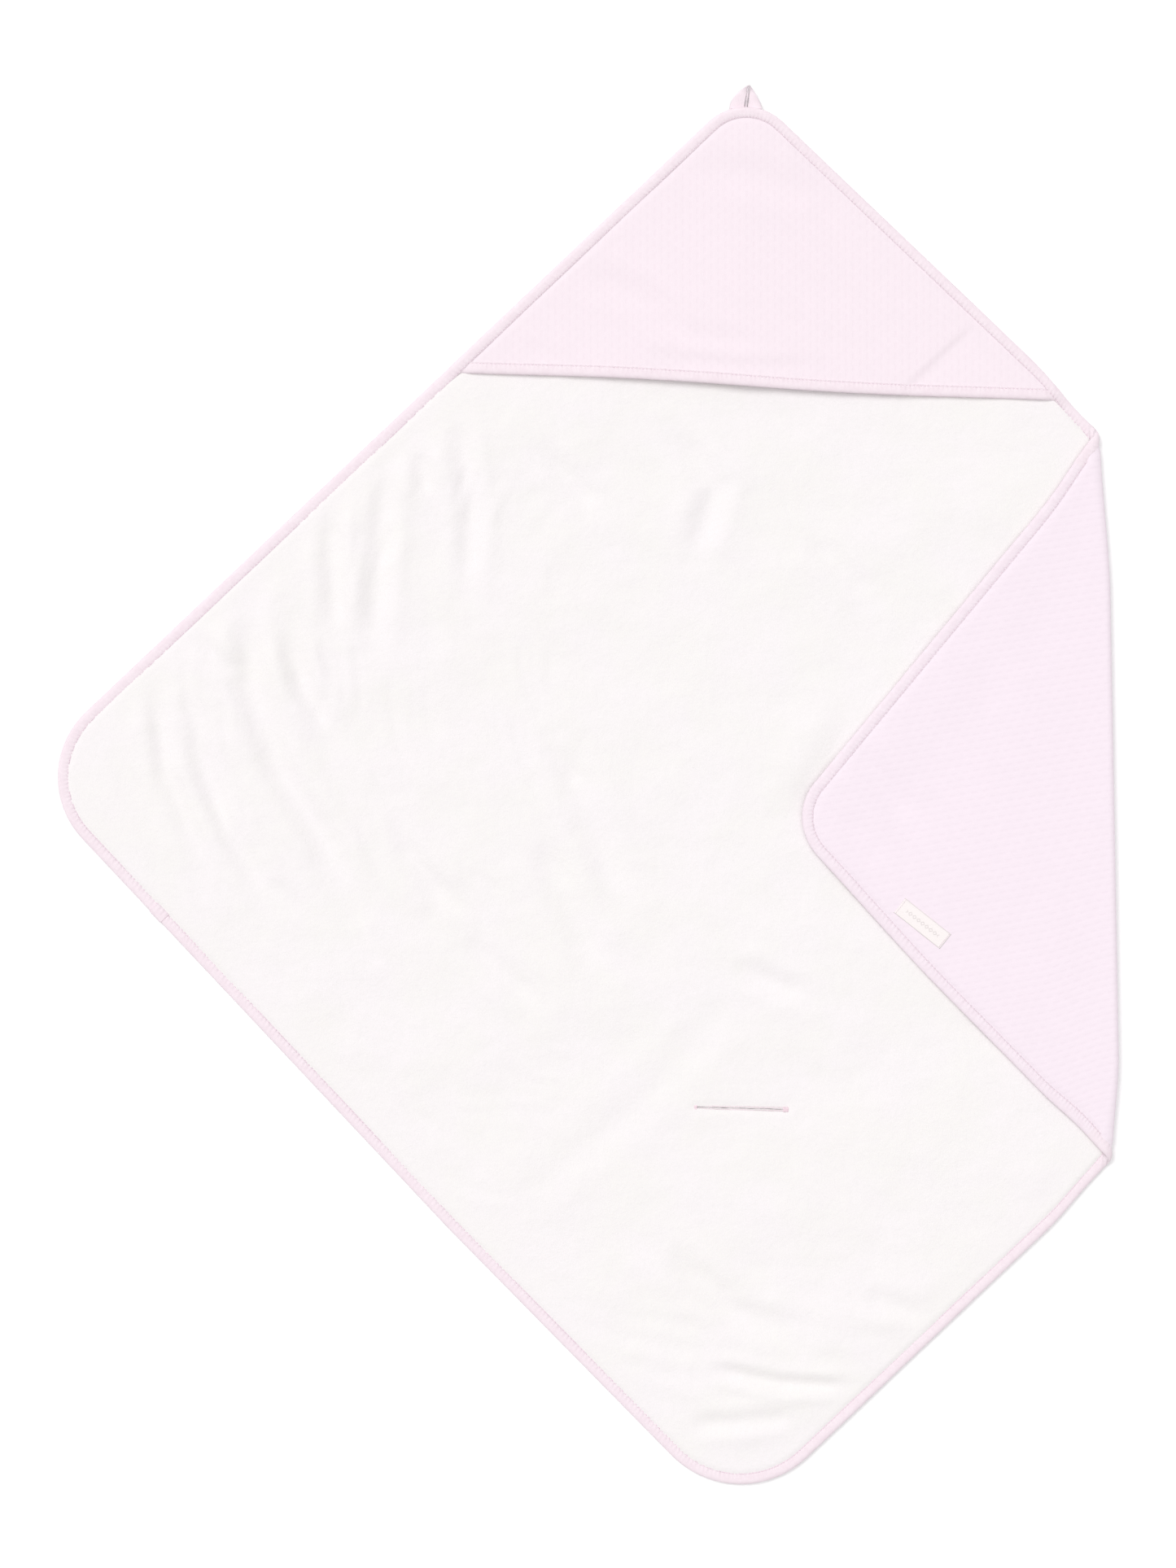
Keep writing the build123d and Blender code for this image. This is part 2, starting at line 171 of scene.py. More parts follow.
def rim(s):
    """Points on the outline at distances s along it, and the directions inwards there."""
    def at(d):
        return np.stack([np.interp(np.mod(d, RIM_LENGTH), RIM_STEPS, OUTLINE[:, k]) for k in (0, 1)], -1)

    s = np.mod(s, RIM_LENGTH)
    along = at(s + 4) - at(s - 4)
    along /= np.linalg.norm(along, axis=-1, keepdims=True)
    return at(s), np.stack([-along[..., 1], along[..., 0]], -1)


def rim_distance_at(x=None, y=None, near=None):
    """How far along the outline it crosses a line x or y, at the crossing nearest to a point."""
    s = np.linspace(0, RIM_LENGTH, 20001)
    p, _ = rim(s)
    gap = (p[:, 0] - x) if x is not None else (p[:, 1] - y)
    crossing = np.nonzero(np.sign(gap[:-1]) != np.sign(gap[1:]))[0]
    best = min(crossing, key=lambda i: np.hypot(p[i, 0] - near[0], p[i, 1] - near[1]))
    return s[best]


def edge_gap(x, y):
    """How far inside the outline each point lies; points outside count below zero."""
    gap = np.full(x.shape, FAR)
    inside = np.zeros(x.shape, bool)
    for a, b in zip(OUTLINE[:-1], OUTLINE[1:]):
        d = b - a
        length = d @ d
        if length < 1e-9:
            continue
        t = np.clip(((x - a[0]) * d[0] + (y - a[1]) * d[1]) / length, 0, 1)
        gap = np.minimum(gap, np.hypot(x - a[0] - t * d[0], y - a[1] - t * d[1]))
        crosses = (a[1] > y) != (b[1] > y)
        if abs(d[1]) > 1e-9:
            inside ^= crosses & (x < a[0] + (y - a[1]) * d[0] / d[1])
    return np.where(inside, gap, -gap)


def line_gap(x, y, start, end):
    """Distance from a line segment, and the share of the way along it."""
    d = np.array(end, float) - np.array(start, float)
    t = ((x - start[0]) * d[0] + (y - start[1]) * d[1]) / (d @ d)
    c = np.clip(t, 0, 1)
    return np.hypot(x - start[0] - c * d[0], y - start[1] - c * d[1]), c


def crease(x, y, points, depth, width):
    """A soft valley along a line of points, with a low swell on each side and faded ends."""
    lengths = [math.dist(a, b) for a, b in zip(points, points[1:])]
    total, done = sum(lengths), 0.0
    gap, along = np.full(x.shape, FAR), np.zeros(x.shape)
    for length, a, b in zip(lengths, points, points[1:]):
        g, t = line_gap(x, y, a, b)
        nearer = g < gap
        gap = np.where(nearer, g, gap)
        along = np.where(nearer, (done + t * length) / total, along)
        done += length
    fade = smooth(along / 0.25) * smooth((1 - along) / 0.25) * 0.85 + 0.15
    swell = 0.55 * np.exp(-(((gap - 1.9 * width) / (0.95 * width)) ** 2))
    return depth * fade * (swell - np.exp(-((gap / width) ** 2)))


def drift(x, y, size, height, seed, waves=9):
    """A slow, uneven swell of the cloth, from a few crossed waves."""
    rng = np.random.RandomState(seed)
    total = np.zeros(x.shape)
    for _ in range(waves):
        angle, length, phase = rng.uniform(0, math.pi), size * rng.uniform(0.6, 1.7), rng.uniform(0, 6.28)
        total += np.sin((x * math.cos(angle) + y * math.sin(angle)) * FULL_TURN / length + phase)
    return total * height / math.sqrt(waves)


def ripples(x, y):
    """Fine, uneven creases that sweep round the towel's middle across its left half."""
    radius = np.hypot(x - 155, y - 137) + drift(x, y, 160, 9, 21) + drift(x, y, 60, 2.2, 22)
    left = smooth((60 - x) / 220)
    patchy = smooth((drift(x, y, 110, 1.0, 23) + 0.35) / 1.3)
    fine = np.sin(radius * FULL_TURN / 31) + 0.6 * np.sin(radius * FULL_TURN / 17 + 1)
    low = smooth((-y - 380) / 120) * smooth((drift(x, y, 120, 1.0, 24) + 0.5) / 1.2)
    across = np.sin((y + 0.22 * x) * FULL_TURN / 24 + drift(x, y, 120, 1.4, 25))
    return 0.42 * left * patchy * fine + 0.4 * low * across


# ---------------------------------------------------------------- the shape of the cloth

# Each soft fold of the lining: the line it runs along, how deep it is and how wide.
LINING_FOLDS = [
    ([(-180, 300), (-186, 210), (-191, 120)], 2.6, 11),
    ([(-118, 330), (-104, 249), (-107, 170)], 2.4, 10),
    ([(-151, 296), (-143, 258)], 1.6, 8),
    ([(-234, 252), (-227, 190), (-223, 135)], 2.6, 10),
    ([(-307, 172), (-300, 85), (-275, 12), (-235, -52), (-208, -112)], 3.7, 13),
    ([(-272, 140), (-252, 85), (-227, 42)], 2.8, 10),
    ([(-354, 136), (-312, 94)], 2.0, 9),
    ([(-360, 63), (-327, -30), (-280, -110)], 2.6, 11),
    ([(-388, 96), (-375, 10), (-340, -70)], 2.2, 10),
    ([(-40, 37), (-7, -3)], 1.3, 9),
    ([(-38, 296), (7, 245)], 1.8, 10),
    ([(78, 315), (114, 264), (94, 200)], 2.2, 12),
    ([(194, 222), (254, 166)], 1.8, 11),
    ([(-176, -46), (-122, -110)], 2.2, 11),
    ([(-45, -46), (10, -168)], 2.0, 14),
    ([(-24, 42), (29, -104)], 1.7, 14),
    ([(-111, -134), (-42, -198)], 1.8, 11),
    ([(145, -176), (40, -290), (-78, -387)], 1.0, 15),
    ([(127, -160), (197, -191)], 1.8, 10),
    ([(66, -410), (129, -470), (190, -494)], 2.4, 13),
    ([(100, -519), (170, -534), (250, -540)], 2.6, 7),
    ([(243, -454), (306, -478)], 2.0, 10),
    ([(83, -573), (189, -564)], 1.8, 8),
    ([(-60, -470), (10, -545)], 1.6, 12),
    ([(330, -60), (380, -160)], 1.2, 14),
    ([(240, 60), (180, -40)], 1.5, 16),
]

# Soft folds of the hood panel.
HOOD_FOLDS = [
    ([(90, 549), (150, 541), (202, 525), (240, 480)], 1.5, 13),
    ([(-4, 458), (40, 436), (92, 402)], 2.1, 11),
    ([(42, 410), (104, 398), (160, 392)], 0.9, 8),
    ([(60, 380), (120, 373), (206, 371)], 0.8, 6),
    ([(-60, 392), (-20, 372)], 0.8, 7),
    ([(300, 470), (345, 425)], 0.9, 10),
    ([(180, 420), (225, 385)], 0.8, 8),
]

# Soft folds of the turned-over corner, where it lies.
FLAP_FOLDS = [
    ([(232, 38), (262, 0), (292, -36)], 1.8, 12),
    ([(330, 150), (372, 60)], 0.9, 20),
    ([(360, -120), (430, -230)], 1.0, 22),
    ([(225, -25), (262, -75)], 0.9, 12),
]


def fold_x(y):
    """Where the right corner's fold line crosses a height on the sheet."""
    return HINGE[0] + RIGHT_SLANT * (y - HINGE[1])


def slot_gap(x, y):
    """Distance from the slot's middle line."""
    return line_gap(x, y, OPENING + (-40, 1.0), OPENING + (40, -1.0))[0]


def lining_top(x, y):
    """Height of the plush lining's surface while the sheet lies flat."""
    gap = edge_gap(x, y)
    z = np.full(x.shape, PLUSH_TOP) + drift(x, y, 130, 0.5, 3)
    z = z + drift(x, y, 46, 0.28, 5) + drift(x, y, 17, 0.09, 6)
    for points, depth, width in LINING_FOLDS:
        z += crease(x, y, points, depth * 1.15, width * 0.9)
    z += ripples(x, y)
    calm = smooth((gap - 10) / 34) * smooth((fold_x(y) - x - ROLL_REACH) / 60)
    z = SHEET_TOP + (z - SHEET_TOP) * calm
    roll = smooth((gap - 7.6) / 4)
    pinch = 1 - smooth((slot_gap(x, y) - 1.2) / 5)
    return z * (0.60 + 0.40 * roll) - 0.9 * pinch


def outer_low(x, y):
    """Height of the outer fabric's underside while the sheet lies flat."""
    gap = edge_gap(x, y)
    lift = 0.35 + 0.35 * np.sin(x / 23.0) * np.sin(y / 31.0)
    gripped = 1 - smooth((gap - 8.6) / 3.6)
    off_fold = np.abs(fold_x(y) - x)
    gripped = gripped * (0.35 + 0.65 * smooth((off_fold - 6) / 10))
    return lift * smooth((gap - 12) / 20) * smooth(off_fold / 40) + 1.9 * gripped


def laid(x, y, z):
    """A point of the flat sheet, where it lies with its right corner turned over."""
    centre = fold_x(y)
    u = x - centre
    v = np.abs(u)
    # The roll is fuller and drawn further in near its two ends.
    near_end = np.maximum(smooth((y - 165) / 150), smooth((-y - 240) / 95))
    plump = 1 + 0.8 * near_end
    draw_in = 3.9 + 11.2 * near_end
    spare = (ROLL_ARC - draw_in) * (1 - smooth((v - ROLL_ARC) / 60))
    radius = HINGE[2] - z
    turn = math.pi * np.clip((u + ROLL_ARC) / (2 * ROLL_ARC), 0, 1)
    flat_x = centre - v + spare
    round_x = centre - draw_in + plump * radius * np.sin(turn)
    new_x = np.where(v < ROLL_ARC, round_x, flat_x)
    over = turn / math.pi
    new_y = y + 2 * RIGHT_SLANT * over * u
    new_y = new_y - 9.0 * smooth((-y - 20) / 150) * over * smooth((u - 8) / 60)
    new_z = HINGE[2] - radius * np.cos(turn)
    # The turned-over corner lies softly, a little fuller just inside its tape.
    lift = np.zeros(x.shape)
    for points, depth, width in FLAP_FOLDS:
        lift += crease(new_x, new_y, points, depth, width)
    lift += drift(new_x, new_y, 150, 0.35, 8)
    gap = edge_gap(x, y)
    lift += 0.9 * np.exp(-((gap - 34) / 24) ** 2) + 0.7
    new_z = new_z + lift * over * smooth((u - 20) / 70)
    return new_x, new_y, new_z


HOOD_LEFT_END = CORNERS["hood"] + unit(CORNERS["left"] - CORNERS["hood"]) * HOOD_LEG_LEFT
HOOD_RIGHT_END = CORNERS["hood"] + unit(easing_point("right", "hood") - CORNERS["hood"]) * HOOD_LEG_RIGHT
HEM_ALONG = unit(HOOD_RIGHT_END - HOOD_LEFT_END)
HEM_UP = np.array([-HEM_ALONG[1], HEM_ALONG[0]])
HEM_LENGTH = np.linalg.norm(HOOD_RIGHT_END - HOOD_LEFT_END)


def hem_sway(t):
    """How far the hem's free edge wanders from a straight line, along its length."""
    return 2.6 * np.sin(t * math.pi * 2 + 0.25) * np.sin(math.pi * t)


def above_hem(x, y):
    """How far above the hem's free edge each point lies."""
    dx, dy = x - HOOD_LEFT_END[0], y - HOOD_LEFT_END[1]
    t = (dx * HEM_ALONG[0] + dy * HEM_ALONG[1]) / HEM_LENGTH
    return dx * HEM_UP[0] + dy * HEM_UP[1] - hem_sway(np.clip(t, 0, 1))


def hood_step(x, y):
    """A crease near the hood's right end, where its puffed middle drops to the side."""
    start, end = np.array([276.0, 346.0]), np.array([344.0, 411.0])
    along = unit(end - start)
    beyond = (x - start[0]) * along[1] - (y - start[1]) * along[0]
    share = ((x - start[0]) * along[0] + (y - start[1]) * along[1]) / np.linalg.norm(end - start)
    faded = smooth((share + 0.05) / 0.3) * smooth((1.08 - share) / 0.35)
    return 2.0 * faded * smooth((beyond + 3.5) / 7) * np.exp(-np.clip(beyond, 0, None) / 34)


def hood_top(x, y):
    """Height of the hood panel's upper surface."""
    gap = edge_gap(x, y)
    above = above_hem(x, y)
    bulge = smooth((gap - 6) / 150)
    crown = 4.6 * bulge * (0.45 + 0.55 * np.exp(-np.clip(above, 0, None) / 120))
    z = HOOD_TOP + crown + drift(x, y, 90, 0.28, 11) * bulge
    for points, depth, width in HOOD_FOLDS:
        z += crease(x, y, points, depth * 0.75, width)
    ripple = np.exp(-((above - 24) / 13) ** 2) * smooth((x - 10) / 60) * smooth((280 - x) / 60)
    z += 0.36 * ripple * np.sin((0.8 * x + y) / 1.7)
    z -= hood_step(x, y)
    return HOOD_EDGE_TOP + (z - HOOD_EDGE_TOP) * smooth((gap - 8.6) / 5)


# ---------------------------------------------------------------- finishing a piece


def finished(name, bm, material):
    """The bmesh as a smooth-shaded object in metres, with its finish."""
    mesh = bpy.data.meshes.new(name)
    bm.to_mesh(mesh)
    bm.free()
    mesh.materials.append(material)
    mesh.polygons.foreach_set("use_smooth", [True] * len(mesh.polygons))
    piece = bpy.data.objects.new(name, mesh)
    bpy.context.scene.collection.objects.link(piece)
    return piece


def places(mesh):
    """The vertices' places, as rows."""
    co = np.zeros(len(mesh.vertices) * 3)
    mesh.vertices.foreach_get("co", co)
    return co.reshape(-1, 3)


def reshape(piece, new, flat):
    """Moves the vertices to new places in millimetres, and keeps the flat places for the weave."""
    mesh = piece.data
    mesh.vertices.foreach_set("co", (new * MM).ravel())
    layer = mesh.attributes.new("cloth", "FLOAT_VECTOR", "POINT")
    layer.data.foreach_set("vector", (flat * MM).astype(np.float32).ravel())
    mesh.update()
    return piece


def flat_cloth(x_range, y_range):
    """A flat grid of cloth over a rectangle, on shared grid lines so that neighbours meet."""
    x0, x1 = math.floor(x_range[0] / CELL) * CELL, math.ceil(x_range[1] / CELL) * CELL
    columns = round((x1 - x0) / CELL)
    rows = round((y_range[1] - y_range[0]) / CELL)
    bm = bmesh.new()
    bmesh.ops.create_grid(bm, x_segments=columns, y_segments=rows, size=0.5)
    bmesh.ops.scale(bm, vec=(x1 - x0, y_range[1] - y_range[0], 1), verts=bm.verts)
    middle = ((x0 + x1) / 2, (y_range[0] + y_range[1]) / 2, 0)
    bmesh.ops.translate(bm, vec=middle, verts=bm.verts)
    return bm


def cut_line(bm, point, normal, clear=True):
    """Cuts the cloth along a line and, unless told not to, takes away the side that normal points to."""
    geom = bm.verts[:] + bm.edges[:] + bm.faces[:]
    bmesh.ops.bisect_plane(bm, geom=geom, dist=1e-5, plane_co=point, plane_no=normal, clear_outer=clear)


def trim(bm, keep):
    """Takes away the cloth whose corners don't all pass the test."""
    co = np.array([v.co[:2] for v in bm.verts])
    passed = keep(co[:, 0], co[:, 1])
    out = [v for v, kept in zip(bm.verts, passed) if not kept]
    bmesh.ops.delete(bm, geom=out, context="VERTS")


def cloth_piece(name, bm, height, material, upper, fold=True):
    """Lays a trimmed flat cloth at its height and turns the right corner over."""
    if not upper:
        bmesh.ops.reverse_faces(bm, faces=bm.faces)
    piece = finished(name, bm, material)
    flat = places(piece.data)
    x, y = flat[:, 0], flat[:, 1]
    z = height(x, y)
    new = np.stack(laid(x, y, z) if fold else (x, y, z), -1)
    return reshape(piece, new, np.stack([x, y, 0 * x], -1))


def tape_height(across, low, high, side, s):
    """Height of the folded tape's upper (side 1) or lower (side -1) face: a rounded nose and a sunk seam."""
    middle, half = (low + high) / 2, (high - low) / 2
    nose = np.sqrt(np.clip(1 - (1 - np.clip(across / NOSE_SHARE, 0, 1)) ** 2, 0, 1))
    lip = np.sqrt(np.clip(1 - (1 - np.clip((1 - across) / 0.09, 0, 1)) ** 2, 0, 1))
    sunk = 0.3 * smooth((across - 0.4) / 0.4) + 0.75 * np.exp(-(((across - SEAM_SHARE) / 0.05) ** 2))
    pucker = 0.10 * np.sin(s / 1.9) * smooth((across - 0.5) / 0.3) + 0.06 * np.sin(s / 17.0)
    sunk = np.minimum(sunk - pucker * (across > 0.1), 0.6 * half)
    return middle + side * (half * nose - sunk * nose) * lip


def level(height):
    """The same height all along a tape."""
    return lambda s: np.full(np.shape(s), height)


def tape_piece(name, start, end, outer, inner, low, high, material=None, fold=True, steps=None):
    """A soft, closed roll of folded tape between an outer and an inner line.

    start and end are distances along it; outer and inner give its two edges there, low and high its heights.
    """
    length = end - start
    steps = steps or max(4, round(length / TAPE_STEP))
    bm = bmesh.new()
    bmesh.ops.create_grid(bm, x_segments=steps, y_segments=TAPE_FACETS, size=0.5)
    params = np.array([(v.co.x + 0.5, v.co.y + 0.5) for v in bm.verts])
    s = start + params[:, 0] * length
    turn = params[:, 1] * 2 * math.pi
    across = (1 - np.cos(turn)) / 2
    side = np.sign(np.sin(turn) + 1e-12) * (np.abs(np.sin(turn)) > 1e-6)
    a, b = outer(s), inner(s)
    place = a + (b - a) * across[:, None]
    z = tape_height(across, low(s), high(s), side, s)
    x, y = place[:, 0], place[:, 1]
    new = np.stack(laid(x, y, z) if fold else (x, y, z), -1)
    for v, p in zip(bm.verts, new):
        v.co = p * MM
    layer = bm.verts.layers.float_vector.new("tape")
    for v, along, part in zip(bm.verts, s, params[:, 1]):
        v[layer] = (along * MM, part * TAPE_GIRTH, 0)
    bmesh.ops.remove_doubles(bm, verts=bm.verts, dist=2e-6)
    caps = bmesh.ops.holes_fill(bm, edges=[e for e in bm.edges if e.is_boundary], sides=0)["faces"]
    for cap in caps:
        for edge in cap.edges:
            edge.smooth = False
    bmesh.ops.recalc_face_normals(bm, faces=bm.faces)
    return finished(name, bm, material or TAPE)


def stitch_piece(name, spots, material, size=(1.25, 0.42, 0.34)):
    """Short thread stitches: each spot is a middle, a direction and an upward direction, in millimetres."""
    bm = bmesh.new()
    for middle, along, up in spots:
        x = Vector(along).normalized()
        z = Vector(up).normalized()
        y = z.cross(x).normalized()
        z = x.cross(y)
        turn = Matrix((x, y, z)).transposed().to_4x4()
        scale = Matrix.Diagonal((*(half * MM for half in size), 1))
        place = Matrix.Translation(Vector(middle) * MM)
        bmesh.ops.create_icosphere(bm, subdivisions=1, radius=1, matrix=place @ turn @ scale)
    return finished(name, bm, material)


# ---------------------------------------------------------------- finishes


# The colour sockets of a Mix node.
COLOUR_A, COLOUR_B, MIXED_COLOUR = 6, 7, 2


def new_finish(name, colour, roughness, sheen=0.0, sheen_tint=(1, 1, 1, 1)):
    """A cloth finish with its shader's fixed values set, and a weaver for the rest."""
    material = bpy.data.materials.new(name)
    material.use_nodes = True
    inputs = material.node_tree.nodes["Principled BSDF"].inputs
    inputs["Base Color"].default_value = colour
    inputs["Roughness"].default_value = roughness
    inputs["Sheen Weight"].default_value = sheen
    inputs["Sheen Roughness"].default_value = 0.5
    inputs["Sheen Tint"].default_value = sheen_tint
    inputs["Specular IOR Level"].default_value = 0.2
    return material, Weaver(material.node_tree)


def paler(colour, factor):
    """The same colour, a little lighter."""
    return tuple(min(1.0, c * factor) for c in colour[:3]) + (1,)


class Weaver:
    """Short ways to add and join shader nodes in one finish."""

    def __init__(self, tree):
        self.tree = tree

    def link(self, a, b):
        self.tree.links.new(a, b)

    def put(self, value, socket):
        """Sets a socket to a fixed value, or joins it to another node's output."""
        if isinstance(value, (int, float, tuple)):
            socket.default_value = value
        else:
            self.link(value, socket)

    def math(self, operation, a, b=None, c=None):
        node = self.tree.nodes.new("ShaderNodeMath")
        node.operation = operation
        for value, socket in zip((a, b, c), node.inputs):
            if value is not None:
                self.put(value, socket)
        return node.outputs[0]

    def note(self, name):
        """The piece's own flat places, whole and as two measures."""
        node = self.tree.nodes.new("ShaderNodeAttribute")
        node.attribute_name = name
        split = self.tree.nodes.new("ShaderNodeSeparateXYZ")
        self.link(node.outputs["Vector"], split.inputs[0])
        return node.outputs["Vector"], split.outputs["X"], split.outputs["Y"]

    def object_place(self):
        return self.tree.nodes.new("ShaderNodeTexCoord").outputs["Object"]

    def noise(self, vector, scale, detail=2.0, roughness=0.5):
        node = self.tree.nodes.new("ShaderNodeTexNoise")
        self.link(vector, node.inputs["Vector"])
        node.inputs["Scale"].default_value = scale
        node.inputs["Detail"].default_value = detail
        node.inputs["Roughness"].default_value = roughness
        return node.outputs["Fac"]

    def stretch(self, value, low, high, to_low=0.0, to_high=1.0):
        node = self.tree.nodes.new("ShaderNodeMapRange")
        node.interpolation_type = "SMOOTHSTEP"
        self.put(value, node.inputs["Value"])
        for key, number in zip(("From Min", "From Max", "To Min", "To Max"), (low, high, to_low, to_high)):
            node.inputs[key].default_value = number
        return node.outputs["Result"]

    def between(self, share, a, b):
        node = self.tree.nodes.new("ShaderNodeMix")
        node.data_type = "RGBA"
        self.put(share, node.inputs["Factor"])
        self.put(a, node.inputs[COLOUR_A])
        self.put(b, node.inputs[COLOUR_B])
        return node.outputs[MIXED_COLOUR]

    def off(self, value, middle):
        """How far a value is from a middle one, whichever way."""
        return self.math("ABSOLUTE", self.math("SUBTRACT", value, middle))

    def weighed(self, *pairs):
        """The sum of values, each with its weight."""
        total = self.math("MULTIPLY", *pairs[0])
        for value, weight in pairs[1:]:
            total = self.math("ADD", total, self.math("MULTIPLY", value, weight))
        return total

    def dress(self, colour, height, distance, strength):
        """Gives the finish its colour and its relief."""
        shader = self.tree.nodes["Principled BSDF"]
        node = self.tree.nodes.new("ShaderNodeBump")
        node.inputs["Strength"].default_value = strength
        node.inputs["Distance"].default_value = distance
        self.link(height, node.inputs["Height"])
        self.link(colour, shader.inputs["Base Color"])
        self.link(node.outputs["Normal"], shader.inputs["Normal"])


def plush_finish():
    """Short, dense pile: tiny leaning tufts, brushed patches and a soft sheen, with painted shade darkening
    the low pits between tufts.
    """
    material, w = new_finish("plush_pile", (0.90, 0.872, 0.878, 1), 1.0, 0.15)
    place, _, _ = w.note("cloth")
    tufts = w.noise(place, 620.0, 3.0, 0.65)
    clumps = w.noise(place, 190.0, 2.0, 0.6)
    patches = w.noise(place, 14.0, 3.0, 0.6)
    height = w.weighed((tufts, 0.55), (clumps, 0.75))
    # Painted shade: where the tufts and clumps sink, the pile is coloured darker.
    painted_pile_shade = w.stretch(w.weighed((tufts, 0.5), (clumps, 0.5)), 0.3, 0.62)
    light = w.between(w.stretch(patches, 0.35, 0.65), (0.893, 0.866, 0.853, 1), (0.905, 0.864, 0.876, 1))
    w.dress(w.between(painted_pile_shade, (0.882, 0.848, 0.852, 1), light), height, 0.0011, 0.5)
    return material


# The woven dashes' spacing across and along, in metres, and the way the sheet's threads run.
DASH_ACROSS, DASH_ALONG = 0.0063, 0.010
THREAD_LINE = (0.139, 0.990)


def outer_finish(name, base, painted_shade_colour, turned):
    """Woven cotton with staggered stitched dashes that pinch it into a fine quilted relief, with painted
    shade darkening the pinched dashes and the low yarns.

    turned says whether the dashes follow the sheet's threads, and not the piece's own width.
    """
    material, w = new_finish(name, base, 0.92, 0.18, (1, 0.93, 0.97, 1))
    place, x, y = w.note("cloth")
    if turned:
        c, s = THREAD_LINE
        x, y = w.weighed((x, c), (y, s)), w.weighed((x, s), (y, -c))
    column = w.math("DIVIDE", x, DASH_ACROSS)
    number = w.math("FLOOR", column)
    stagger = w.math("MULTIPLY", w.math("MODULO", w.math("ABSOLUTE", number), 2.0), 0.5)
    place_along = w.math("ADD", w.math("DIVIDE", y, DASH_ALONG), stagger)
    row = w.math("FRACT", w.math("ADD", place_along, 100.0))
    side = w.off(w.math("SUBTRACT", column, number), 0.5)
    end = w.off(row, 0.5)
    dash = w.math("MULTIPLY", w.stretch(side, 0.10, 0.24, 1.0, 0.0), w.stretch(end, 0.20, 0.36, 1.0, 0.0))
    puff = w.math("MULTIPLY", w.stretch(side, 0.05, 0.5, 0.0, 1.0), w.stretch(end, 0.1, 0.5, 0.3, 1.0))
    yarn = w.noise(place, 900.0, 2.0, 0.6)
    slub = w.noise(place, 90.0, 2.0, 0.5)
    height = w.weighed((puff, 0.55), (dash, -0.75), (yarn, 0.28))
    tone = w.between(w.stretch(slub, 0.35, 0.65), base, paler(base, 1.012))
    # Painted shade: the low yarns take on up to a quarter of the darker shade colour.
    tone = w.between(w.stretch(yarn, 0.35, 0.65, 0.25, 0.0), tone, painted_shade_colour)
    # Painted shade: the pinched dashes are coloured darker, by a fifth to a half as the slubs vary.
    painted_dash_shade = w.math("MULTIPLY", dash, w.stretch(slub, 0.3, 0.7, 0.2, 0.5))
    w.dress(w.between(painted_dash_shade, tone, painted_shade_colour), height, 0.00035, 0.36)
    return material


def tape_finish(name="binding_tape_weave", darker=(0.885, 0.765, 0.822, 1), lighter=(0.905, 0.795, 0.848, 1)):
    """Fine woven tape, puckered across by its seam."""
    material, w = new_finish(name, lighter, 0.85, 0.2, (1, 0.92, 0.96, 1))
    _, along, across = w.note("tape")
    place = w.object_place()
    rib = w.math("SINE", w.math("MULTIPLY", along, 5200.0))
    cross = w.math("SINE", w.math("MULTIPLY", across, 7000.0))
    weave = w.math("MULTIPLY", rib, cross)
    pucker = w.math("SINE", w.weighed((along, 1500.0), (across, 260.0)))
    seam_side = w.stretch(w.off(across, TAPE_GIRTH / 2), 0.0035, 0.0075, 1.0, 0.15)
    uneven = w.noise(place, 160.0, 3.0, 0.6)
    height = w.weighed((weave, 0.12), (w.math("MULTIPLY", pucker, seam_side), 0.3), (uneven, 0.7))
    w.dress(w.between(w.stretch(uneven, 0.35, 0.65), darker, lighter), height, 0.0006, 0.8)
    return material


def thread_finish(name="sewing_thread_twist", colour=(0.76, 0.60, 0.68, 1)):
    """Twisted polyester thread with a faint gloss."""
    material, w = new_finish(name, colour, 0.6, 0.1)
    place = w.object_place()
    twist = w.noise(place, 2600.0, 1.0, 0.5)
    w.dress(w.between(w.stretch(twist, 0.35, 0.65), colour, paler(colour, 1.12)), twist, 0.0002, 0.6)
    return material


# The label's ribbon and its woven diamonds' spacing, in metres.
RIBBON_THREADS = 9000.0
DIAMOND_PITCH = 0.0046


def label_finish():
    """Cream woven ribbon with a plain woven row of small diamonds."""
    material, w = new_finish("label_ribbon_weave", (0.95, 0.9, 0.88, 1), 0.7, 0.15)
    _, along, across = w.note("cloth")
    warp, weft = (w.math("SINE", w.math("MULTIPLY", way, RIBBON_THREADS)) for way in (along, across))
    grain = w.math("MULTIPLY", warp, weft)
    step = w.off(w.math("FRACT", w.math("ADD", w.math("DIVIDE", along, DIAMOND_PITCH), 50.5)), 0.5)
    rise = w.math("DIVIDE", w.math("ABSOLUTE", across), DIAMOND_PITCH)
    ring = w.off(w.math("ADD", step, rise), 0.36)
    diamond = w.stretch(ring, 0.05, 0.11, 1.0, 0.0)
    reach = w.stretch(w.math("ABSOLUTE", along), 0.0175, 0.0185, 1.0, 0.0)
    border = w.stretch(w.math("ABSOLUTE", across), 0.0071, 0.0076, 0.0, 0.5)
    mark = w.math("MAXIMUM", w.math("MULTIPLY", diamond, reach), border)
    tone = w.between(w.math("MULTIPLY", mark, 0.65), (0.955, 0.893, 0.888, 1), (0.72, 0.65, 0.65, 1))
    w.dress(tone, w.weighed((grain, 0.3), (mark, 1.0)), 0.00025, 0.7)
    return material


PLUSH = plush_finish()
